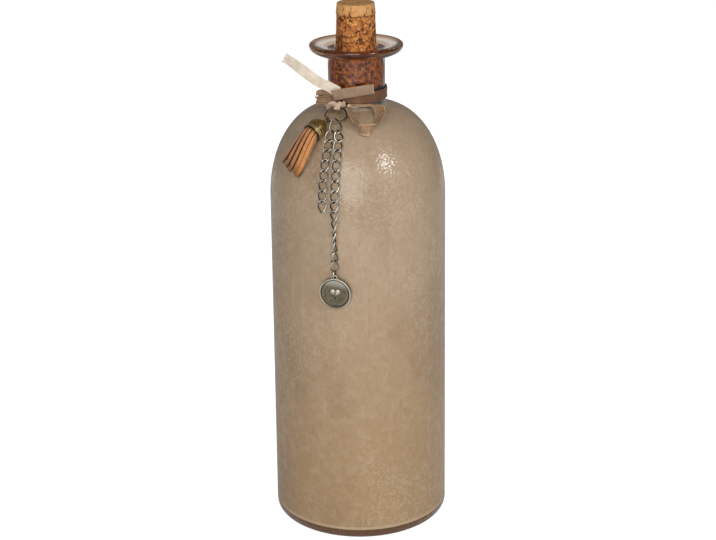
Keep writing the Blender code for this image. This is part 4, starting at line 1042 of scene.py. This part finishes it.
def make_left_tail(finish, thread_finish):
    """The pale end that stands up to the left, with a soft wave and a frayed tip."""
    path = guided(LEFT_TAIL_GUIDES, 6)
    last = len(path) - 1
    sides, widths = [], []
    for row in range(len(path)):
        share = row / last
        flow = flow_at(path, row)
        sides.append(rolled(flow.cross(FRONT).normalized(), TAIL_TWIST * math.sin(share * 5.5), flow))
        widths.append(RIBBON_WIDTH * (0.98 - 0.06 * math.sin(share * 7)))

    def lift(share, across):
        cup = MM * math.sin(share * math.pi) * (0.25 - across * across)
        return FRONT * cup + ripple(path[round(share * last)], 8 * MM, across) * (0.25 * MM)

    tail = woven_strip("left_tail", path, sides, widths, 10, lift)
    as_ribbon(tail, 0.7, "pale_ribbon", finish)
    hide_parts("ribbon_left_tail")
    end, side = path[-1], sides[-1]
    flow = (path[-1] - path[-2]).normalized()
    threads = []
    for number in range(FRAY_THREADS):
        across = (number + 0.5) / FRAY_THREADS - 0.5
        spread = ripple(Vector((number * 1.7, 0.0, 0.0)), 1.0)
        root = end + side * (across * RIBBON_WIDTH * 0.95) - flow * (0.4 * MM)
        way = flow + side * (across * 0.7 + 0.5 * spread.y) + FRONT * (0.5 * spread.z)
        tip = root + way * ((1.0 + 1.3 * abs(spread.x)) * MM)
        bend = (root + tip) / 2 + (side * spread.z + FRONT * spread.x) * (0.2 * MM)
        middles = smooth_path([root, bend, tip], 3)
        thread = woven_strip(f"thread_{number}", middles, [side] * 7, [THREAD_WIDTH] * 7, 1)
        threads.append(finished(thread, thickened(THREAD_THICKNESS)))
    fray = joined("left_tail_fray", threads)
    dress(fray, "bottle_and_ribbon", "pale_ribbon", thread_finish)


def make_strap(finish):
    """The darker end, doubled into a flattened tube whose mouth is open beside the knot."""
    path = guided(STRAP_GUIDES, 6)
    rows = len(path) - 1
    strap = added("grid", "right_strap", x_subdivisions=rows, y_subdivisions=STRAP_COLUMNS, size=2.0,
                  calc_uvs=True)
    for vertex in strap.data.vertices:
        row = round((vertex.co.x + 1) / 2 * rows)
        share = row / rows
        angle = math.pi * (vertex.co.y + 1)
        flow = flow_at(path, row)
        side = FRONT.cross(flow).normalized()
        out = flow.cross(side).normalized()
        if out.dot(FRONT) < 0:
            out = -out
        wide = RIBBON_WIDTH / 2 * (0.99 - 0.08 * share)
        deep = STRAP_DEPTH + STRAP_OPENING * max(0.0, 1 - share * 2.5) ** 2
        front = math.sin(angle)
        stretch = STRAP_OVERLAP * max(0.0, front) * max(0.0, 1 - share * 3)
        place = path[row] + side * (math.cos(angle) * wide) + out * (front * deep) + flow * stretch
        vertex.co = place + ripple(path[row], 6 * MM, math.cos(angle)) * (0.18 * MM)
    edit(strap)
    bpy.ops.mesh.remove_doubles(threshold=WELD)
    bpy.ops.mesh.normals_make_consistent(inside=False)
    as_ribbon(strap, 0.7, "taupe_ribbon", finish, offset=-1.0)
    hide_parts("ribbon_right_tail")


def make_bow(finish):
    """The thin glossy loop on the shoulder: gathered under the strap, its foot turned to the front."""
    path = guided(BOW_GUIDES, 8, closed=True)
    rows = len(path) - 1
    sides, widths = [], []
    for row, centre in enumerate(path):
        share = (row % rows) / rows
        foot_turn = BOW_FOOT_TURN * eased(near(share, BOW_FOOT, 0.12))
        lean = BOW_LEAN + BOW_SWAY * math.sin(4 * math.pi * share + 0.6) + foot_turn
        sides.append(rolled(shoulder_normal(centre), lean, flow_at(path, row, True)).normalized())
        apart = abs((share - BOW_GATHER + 0.5) % 1.0 - 0.5)
        gathered = min(1.0, max(0.0, (0.24 - apart) / 0.10))
        widths.append(RIBBON_WIDTH * (0.96 - 0.70 * eased(gathered)))

    def lift(share, across):
        row = round(share * rows) % rows
        out = flow_at(path, row, True).cross(sides[row]).normalized()
        bent = near(share, 0.58, 0.14) + 0.6 * near(share, 0.33, 0.14)
        fold = 0.10 * math.sin(2 * math.pi * share * 9 + across * 5)
        crinkle = bent * 0.50 * math.sin(2 * math.pi * share * 26 + across * 4)
        return out * ((fold + crinkle) * MM)

    loop = woven_strip("bow_loop", path, sides, widths, 8, lift)
    as_ribbon(loop, 0.4, "pale_ribbon", finish)
    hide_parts("ribbon_bow_loop")


def make_keeper(finish):
    """The gathered turn of ribbon that holds the ring, and the crumpled end beside it."""
    out = RING_ACROSS.cross(UP).normalized()
    hole = RING_WIRE / 2 + KEEPER_ROOM + RIBBON_THICKNESS / 2
    inner = BAND_RADIUS + BAND_CREASE + RIBBON_THICKNESS + SEAT_GAP - RING_TOP_REACH
    centre = RING_TOP + out * ((inner + hole) / 2)
    count = KEEPER_ROWS + 1
    centres = []
    for row in range(count):
        a = turn_at(row, KEEPER_ROWS)
        centres.append(centre + out * (math.cos(a) * (hole - inner) / 2) + UP * (math.sin(a) * hole))

    def lift(share, across):
        a = turn_at(round(share * KEEPER_ROWS), KEEPER_ROWS)
        way = out * math.cos(a) + UP * math.sin(a)
        return way * (0.16 * MM * math.sin(across * 14 + a * 2))

    keeper = woven_strip("ring_keeper", centres, [RING_ACROSS] * count, [KEEPER_WIDTH] * count, 10, lift)
    as_ribbon(keeper, 0.7, "pale_ribbon", finish)
    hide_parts("ribbon_ring_keeper")
    path = guided(CRUMPLE_GUIDES, 8)
    last = len(path) - 1
    sides, widths = [], []
    for row in range(len(path)):
        share = row / last
        flow = flow_at(path, row)
        sides.append(rolled(flow.cross(FRONT).normalized(), CRUMPLE_TWIST * math.sin(share * 9), flow))
        widths.append(CRUMPLE_WIDTH + 0.8 * MM * math.sin(share * 8 + 1))

    def crease(share, across):
        return ripple(path[round(share * last)], 2.2 * MM, across * 3) * CRUMPLE_DEPTH

    crumple = woven_strip("crumpled_end", path, sides, widths, 10, crease)
    as_ribbon(crumple, 0.6, "pale_ribbon", finish)


def wire_ring(name, matrix, radius, wire):
    """A cut ring of round wire: one segment is taken out and its two ends are drawn together."""
    ring = added("torus", name, major_segments=RING_SEGMENTS, minor_segments=14, major_radius=radius,
                 minor_radius=wire / 2)
    cut = 2 * math.pi / RING_SEGMENTS
    edit(ring, "DESELECT")
    pick_faces(ring, lambda middle, normal: 0 < math.atan2(middle.y, middle.x) < cut)
    bpy.ops.mesh.delete(type="FACE")
    bpy.ops.mesh.select_mode(type="EDGE")
    bpy.ops.mesh.select_non_manifold()
    bpy.ops.mesh.fill_holes(sides=0)
    bpy.ops.object.mode_set(mode="OBJECT")
    for vertex in ring.data.vertices:
        angle = math.atan2(vertex.co.y, vertex.co.x) - cut / 2
        if abs(angle) <= cut:
            inward = -cut * RING_CLOSING if angle > 0 else cut * RING_CLOSING
            vertex.co = Matrix.Rotation(inward, 3, "Z") @ vertex.co
    put(ring, matrix)
    return finished(ring)


def make_ring(finish):
    across = RING_ACROSS.normalized()
    down = RING_DOWN.normalized()
    place = placement(across, down, across.cross(down), RING_MIDDLE)
    ring = wire_ring("jump_ring", place, RING_RADIUS, RING_WIRE)
    dress(ring, "ring", "ring_steel", finish)
    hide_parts("hanging_ring")


def cap_outline():
    rim = -CAP_LENGTH
    inner = CAP_RADIUS - CAP_WALL
    groove = CAP_RADIUS - GROOVE_DEPTH
    soft = 0.12 * MM
    outline = arc((0.0, -CAP_CROWN), (CAP_RADIUS, CAP_CROWN), 90, 0, 18)
    for number in (1, 0):
        edge = rim + CAP_RIM + number * GROOVE_PITCH
        top = edge + GROOVE_WIDTH
        outline += [(CAP_RADIUS, top + soft), (CAP_RADIUS - soft, top), (groove, top - soft * 1.5)]
        outline += [(groove, edge + soft * 1.5), (CAP_RADIUS - soft, edge), (CAP_RADIUS, edge - soft)]
    outline += [(CAP_RADIUS, rim + soft), (CAP_RADIUS - soft, rim), (inner + soft, rim)]
    outline += arc((0.0, -CAP_CROWN), (inner, CAP_CROWN - CAP_WALL), 0, 90, 12)
    return outline


def make_tassel(bronze):
    """The bell cap of the tassel and the wire eye on its crown."""
    cap = turned("tassel_bell", cap_outline(), CAP_STEPS)
    put(cap, cap_place())
    finished(cap)
    dress(cap, "tassel", "antique_bronze", bronze)
    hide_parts("tassel_cap")
    place = placement(TASSEL_DOWN, TASSEL_FACE, TASSEL_DOWN.cross(TASSEL_FACE), EYE_MIDDLE)
    eye = wire_ring("tassel_loop", place, EYE_RADIUS, EYE_WIRE)
    dress(eye, "tassel", "antique_bronze", bronze)
    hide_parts("tassel_eye")


def make_fringe(count, face, edge):
    """Straight cut strips that leave the cap in a ring and lie fanned out, side by side."""
    mouth = CROWN + TASSEL_DOWN * CAP_LENGTH
    length = (FRINGE_TIP - mouth).length
    bend = mouth + TASSEL_DOWN * (length * FRINGE_BEND_SHARE)
    strips = []
    for number in range(count + INNER_STRIPS):
        inner = number >= count
        turn = 2 * math.pi * (number + 0.5) / count
        reach = 1.0
        if inner:
            turn = math.pi * (0.25 + 0.25 * (number - count))
            reach = INNER_REACH
        wobble = ripple(Vector((number * 2.3, 0.7, 0.4)), 1.0)
        centres, sides, widths = [], [], []
        for share in np.linspace(-0.20, 1, FRINGE_ROWS):
            along = max(share, 0.0)
            ease = eased(along)
            spine = mouth.lerp(bend, along).lerp(bend.lerp(FRINGE_TIP, along), along)
            spine = spine + TASSEL_DOWN * (length * min(share, 0.0))
            level = TASSEL_FACE.lerp(FRINGE_TIP_NORMAL, ease).normalized()
            flow = TASSEL_DOWN.lerp((FRINGE_TIP - bend).normalized(), along).normalized()
            beside = flow.cross(level).normalized()
            level = beside.cross(flow).normalized()
            wide = (FRINGE_ROOT + (FRINGE_SPREAD - FRINGE_ROOT) * ease) * reach
            deep = (FRINGE_ROOT + (FRINGE_DEPTH - FRINGE_ROOT) * ease) * reach
            place = spine + beside * (math.cos(turn) * wide) + level * (math.sin(turn) * deep)
            place = place + (beside * wobble.x + level * wobble.y) * (STRIP_SWAY * along * along)
            curl = max(0.0, share - 0.82) / 0.18
            centres.append(place + level * (wobble.z * STRIP_CURL * curl * curl))
            around = beside * (-math.sin(turn) * wide) + level * (math.cos(turn) * deep)
            sides.append(rolled(around.normalized(), STRIP_TWIST * wobble.z * along, flow))
            widths.append((STRIP_WIDTH + STRIP_WIDENING * along) * (0.9 if inner else 1.0))
        ragged = 0.94 + 0.11 * abs(ripple(Vector((number * 1.1, 3.3, 2.0)), 1.0).x)
        start = centres[FRINGE_MOUTH_ROW]
        past = [start + (centre - start) * ragged for centre in centres[FRINGE_MOUTH_ROW + 1:]]
        centres = centres[:FRINGE_MOUTH_ROW + 1] + past
        strip = woven_strip(f"suede_{number}", centres, sides, widths, 3)
        strip.data.materials.append(face)
        strip.data.materials.append(edge)
        thick = thickened(STRIP_THICKNESS, material_offset_rim=1)
        strips.append(finished(strip, thick, rounded(STRIP_ROUNDING, 1)))
    fringe = joined("suede_fringe", strips)
    dress(fringe, "tassel", "suede")
    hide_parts("tassel_fringe")


def note_facing_in(piece):
    """Notes at every corner of the mesh how far it faces the middle of its own piece, for the painted shade
    on the inner side of each link.
    """
    mesh = piece.data
    middle = sum((corner.co for corner in mesh.vertices), Vector()) / len(mesh.vertices)
    facing_in = mesh.attributes.new("facing_in", "FLOAT", "POINT")
    for corner, noted in zip(mesh.vertices, facing_in.data):
        noted.value = 0.5 + 0.5 * corner.normal.dot((middle - corner.co).normalized())


def make_links(finish):
    """Each link of wire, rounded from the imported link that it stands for."""
    for body, nodes in LINK_GROUPS.items():
        for node in nodes:
            link = bpy.data.objects.new("wire_" + node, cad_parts[node].data.copy())
            bpy.context.scene.collection.objects.link(link)
            edit(link)
            bpy.ops.mesh.remove_doubles(threshold=WELD)
            bpy.ops.mesh.tris_convert_to_quads()
            finished(link, subdivided(2), smooth=80)
            edit(link)
            bpy.ops.transform.shrink_fatten(value=LINK_ROUNDING)
            bpy.ops.object.mode_set(mode="OBJECT")
            note_facing_in(link)
            dress(link, body, "bright_steel", finish)
            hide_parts(node)


def heart_outline(size, count):
    points = []
    for i in range(count):
        t = 2 * math.pi * i / count
        x = -16 * math.sin(t) ** 3
        y = 13 * math.cos(t) - 5 * math.cos(2 * t) - 2 * math.cos(3 * t) - math.cos(4 * t)
        points.append((x * size / 32, (y + 2) * size / 32))
    return points


def make_charm(finish):
    """A stamped disc: raised rim and sunk floor on both faces, a small heart and beads on the front."""
    disc = added("cylinder", "charm_disc", vertices=96, radius=CHARM_RADIUS, depth=CHARM_THICKNESS)
    edit(disc, "DESELECT")
    pick_faces(disc, lambda middle, normal: abs(normal.z) > 0.9)
    bpy.ops.mesh.inset(thickness=CHARM_RIM_WIDTH, use_individual=True)
    bpy.ops.mesh.inset(thickness=CHARM_RECESS, depth=-CHARM_RECESS, use_individual=True)
    bpy.ops.mesh.inset(thickness=0.8 * MM, use_individual=True)
    bpy.ops.mesh.poke()
    parts = [finished(disc, rounded(0.22 * MM, 3))]
    floor = CHARM_THICKNESS / 2 - CHARM_RECESS
    heart = added("circle", "charm_heart", vertices=HEART_POINTS, radius=MM, fill_type="NGON")
    for vertex, (x, y) in zip(heart.data.vertices, heart_outline(HEART_SIZE, HEART_POINTS)):
        vertex.co = (x, y, floor - 0.05 * MM)
    edit(heart)
    bpy.ops.mesh.extrude_region_move(TRANSFORM_OT_translate={"value": (0, 0, 0.16 * MM)})
    bpy.ops.mesh.inset(thickness=0.3 * MM, depth=0.25 * MM)
    bpy.ops.mesh.inset(thickness=0.35 * MM, depth=0.06 * MM)
    bpy.ops.mesh.select_all(action="SELECT")
    bpy.ops.mesh.normals_make_consistent(inside=False)
    parts.append(finished(heart))
    reach = CHARM_RADIUS - CHARM_RIM_WIDTH - BEAD_INSET
    for number in range(BEADS):
        turn = turn_at(number, BEADS)
        bead = added("ico_sphere", f"charm_bead_{number}", subdivisions=1, radius=BEAD_RADIUS)
        put(bead, Matrix.Translation((reach * math.cos(turn), reach * math.sin(turn), floor)))
        parts.append(finished(bead, subdivided(), smooth=80))
    wire = LUG_RADIUS - LUG_HOLE_RADIUS
    lug = added("torus", "charm_lug", major_segments=40, minor_segments=12, minor_radius=wire / 2,
                major_radius=(LUG_RADIUS + LUG_HOLE_RADIUS) / 2)
    above = Matrix.Translation((0.0, CHARM_RADIUS + LUG_RISE, 0.0))
    put(lug, above @ Matrix.Diagonal((1.0, 1.0, LUG_THICKNESS / wire, 1.0)))
    parts.append(finished(lug))
    charm = joined("charm_disc", parts)
    put(charm, placement(-CHARM_ACROSS, -CHARM_DOWN, -CHARM_NORMAL, CHARM_MIDDLE))
    dress(charm, "charm_on_ring", "antique_pewter", finish)
    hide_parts("charm")


# Stage


def soft_light(name, place, target, size, power, mirrored=True):
    """A soft lamp. One that isn't mirrored lights the bottle but leaves no reflection on it."""
    nothing_selected()
    bpy.ops.object.light_add(type="AREA", location=place)
    lamp = bpy.context.object
    lamp.name = name
    lamp.data.shape = "RECTANGLE"
    lamp.data.size, lamp.data.size_y = size
    lamp.data.energy = power
    lamp.visible_glossy = mirrored
    lamp.rotation_euler = (Vector(target) - Vector(place)).to_track_quat("-Z", "Y").to_euler()


def make_floor(settings):
    """A white floor that glows a little where it is seen, so that it joins the white background."""
    floor = added("plane", "studio_floor", size=8.0)
    finish = Finish("studio_floor", settings.floor, Roughness=0.7, Specular_IOR_Level=0.2)
    finish.drive("Emission Color", WHITE)
    finish.drive("Emission Strength", finish.maths("MULTIPLY", finish.seen(), settings.glow))
    floor.data.materials.append(finish.material)


def make_world(settings):
    """White where it is seen, and dimmer where it only lights the bottle."""
    world = bpy.data.worlds.new("studio")
    bpy.context.scene.world = world
    world.use_nodes = True
    nodes = Nodes(world.node_tree)
    level = nodes.node("MapRange", {"Value": nodes.seen(), "To Min": settings.sky, "To Max": 1.0})
    background = world.node_tree.nodes["Background"]
    nodes.join(background.inputs["Color"], WHITE)
    nodes.join(background.inputs["Strength"], level.outputs["Result"])


def make_camera():
    nothing_selected()
    bpy.ops.object.camera_add(location=CAMERA_PLACE)
    camera = bpy.context.object
    camera.name = "photo_camera"
    camera.data.lens = CAMERA_LENS
    camera.data.sensor_width = 36.0
    camera.data.clip_start = 10.0 * MM
    tilt = Matrix.Rotation(math.radians(90 - CAMERA_DIP), 4, "X")
    roll = Matrix.Rotation(math.radians(CAMERA_ROLL), 4, "Z")
    camera.matrix_world = Matrix.Translation(camera.location) @ tilt @ roll
    bpy.context.scene.camera = camera


# Operators


class BOTTLE_OT_stage(bpy.types.Operator):
    """Sets up the floor, the lights, the surroundings and the camera"""

    bl_idname = "bottle.stage"
    bl_label = "Stage"
    bl_options = {"REGISTER", "UNDO"}

    def execute(self, context):
        settings = context.scene.bottle_stage
        make_camera()
        make_floor(settings)
        make_world(settings)
        soft_light("key_light", (-0.28, -1.58, 0.62), (0.0, 0.0, 0.13), (1.0, 1.1), settings.key)
        soft_light("glint_light", (0.89, -0.98, 0.92), (0.0, 0.0, 0.20), (0.25, 0.32), settings.glint)
        soft_light("left_strip", (-0.60, 0.90, 0.25), (0.0, 0.0, 0.15), (0.12, 0.9), settings.rim, False)
        soft_light("right_strip", (0.60, 0.90, 0.25), (0.0, 0.0, 0.15), (0.12, 0.9), settings.rim, False)
        context.scene.view_settings.view_transform = "Standard"
        return {"FINISHED"}


class BOTTLE_OT_glass(bpy.types.Operator):
    """Makes the bottle with its frosted coat and bare neck"""

    bl_idname = "bottle.glass"
    bl_label = "Glass"
    bl_options = {"REGISTER", "UNDO"}

    def execute(self, context):
        make_bottle(context.scene.bottle_glass)
        return {"FINISHED"}


class BOTTLE_OT_cork(bpy.types.Operator):
    """Makes the pressed cork and the disc on top of it"""

    bl_idname = "bottle.cork"
    bl_label = "Cork"
    bl_options = {"REGISTER", "UNDO"}

    def execute(self, context):
        make_cork(context.scene.bottle_cork)
        return {"FINISHED"}


class BOTTLE_OT_ribbon(bpy.types.Operator):
    """Makes the band, the knot, both ends, the loop and the keeper"""

    bl_idname = "bottle.ribbon"
    bl_label = "Ribbon"
    bl_options = {"REGISTER", "UNDO"}

    def execute(self, context):
        settings = context.scene.bottle_ribbon
        pale, dark, pitch = settings.pale, settings.dark, settings.weave
        knotted, glossy, crumpled = settings.knotted, settings.glossy, settings.crumpled
        # rim: how much lighter each ribbon's painted highlight on its edges and ends is.
        make_band(ribbon_finish("ribbon_band_cloth", settings.band, pitch, 104 * MM, 0.6, 0.05))
        make_knot(ribbon_finish("ribbon_knot_cloth", knotted, pitch, 10 * MM, 0.45, 0.2, rim=1.7))
        tail = ribbon_finish("ribbon_tail_cloth", pale, pitch, 33 * MM, 0.42, 0.4)
        thread = ribbon_finish("ribbon_threads", pale, pitch, 2 * MM, 0.7, 0.4)
        make_left_tail(tail, thread)
        make_strap(ribbon_finish("ribbon_strap_cloth", dark, pitch, 23 * MM, 0.5, 0.3, rim=1.9))
        make_bow(ribbon_finish("ribbon_loop_cloth", glossy, pitch, 66 * MM, 0.14, 0.2, 0.86, 2.6))
        make_keeper(ribbon_finish("ribbon_keeper_cloth", crumpled, pitch, 14 * MM, 0.30, 0.3))
        return {"FINISHED"}


class BOTTLE_OT_tassel(bpy.types.Operator):
    """Makes the ring, the bronze cap with its eye, and the suede fringe"""

    bl_idname = "bottle.tassel"
    bl_label = "Tassel"
    bl_options = {"REGISTER", "UNDO"}

    def execute(self, context):
        settings = context.scene.bottle_trim
        make_ring(metal_finish("ring_steel", settings.dull_steel, settings.patina_and_shade, 0.28, 0.8))
        make_tassel(bronze_finish(settings))
        face = suede_finish("suede_face", settings.suede, paint(172, 112, 62))
        # The cut edges are painted dark as the shade in the gaps between the strips.
        edge = suede_finish("suede_cut_edge", settings.shaded_suede_edge, paint(62, 28, 10))
        make_fringe(settings.strips, face, edge)
        return {"FINISHED"}


class BOTTLE_OT_chain(bpy.types.Operator):
    """Makes both strands of the chain"""

    bl_idname = "bottle.chain"
    bl_label = "Chain"
    bl_options = {"REGISTER", "UNDO"}

    def execute(self, context):
        settings = context.scene.bottle_trim
        # 0.95: how dark the painted shade on the inner side of each link is.
        make_links(metal_finish("chain_steel", settings.steel, settings.patina_and_shade, 0.26, 0.5, 0.95))
        return {"FINISHED"}


class BOTTLE_OT_charm(bpy.types.Operator):
    """Makes the round charm"""

    bl_idname = "bottle.charm"
    bl_label = "Charm"
    bl_options = {"REGISTER", "UNDO"}

    def execute(self, context):
        make_charm(pewter_finish(context.scene.bottle_trim))
        return {"FINISHED"}


STEPS = (
    BOTTLE_OT_stage,
    BOTTLE_OT_glass,
    BOTTLE_OT_cork,
    BOTTLE_OT_ribbon,
    BOTTLE_OT_tassel,
    BOTTLE_OT_chain,
    BOTTLE_OT_charm,
)


class BOTTLE_PT_panel(bpy.types.Panel):
    """The bottle's pieces and settings"""

    bl_label = "Decorative Bottle"
    bl_idname = "BOTTLE_PT_panel"
    bl_space_type = "VIEW_3D"
    bl_region_type = "UI"
    bl_category = "Bottle"

    def draw(self, context):
        for step in STEPS:
            self.layout.operator(step.bl_idname)
        for name, group in SETTINGS.items():
            box = self.layout.box()
            for key in group.__annotations__:
                box.prop(getattr(context.scene, name), key)


def register():
    for group in SETTINGS.values():
        bpy.utils.register_class(group)
    for name, group in SETTINGS.items():
        setattr(bpy.types.Scene, name, bpy.props.PointerProperty(type=group))
    for step in STEPS:
        bpy.utils.register_class(step)
    bpy.utils.register_class(BOTTLE_PT_panel)


def unregister():
    bpy.utils.unregister_class(BOTTLE_PT_panel)
    for step in reversed(STEPS):
        bpy.utils.unregister_class(step)
    for name in SETTINGS:
        delattr(bpy.types.Scene, name)
    for group in SETTINGS.values():
        bpy.utils.unregister_class(group)


def main():
    register()
    bpy.ops.bottle.stage()
    bpy.ops.bottle.glass()
    bpy.ops.bottle.cork()
    bpy.ops.bottle.ribbon()
    bpy.ops.bottle.tassel()
    bpy.ops.bottle.chain()
    bpy.ops.bottle.charm()


if __name__ == "__main__":
    main()
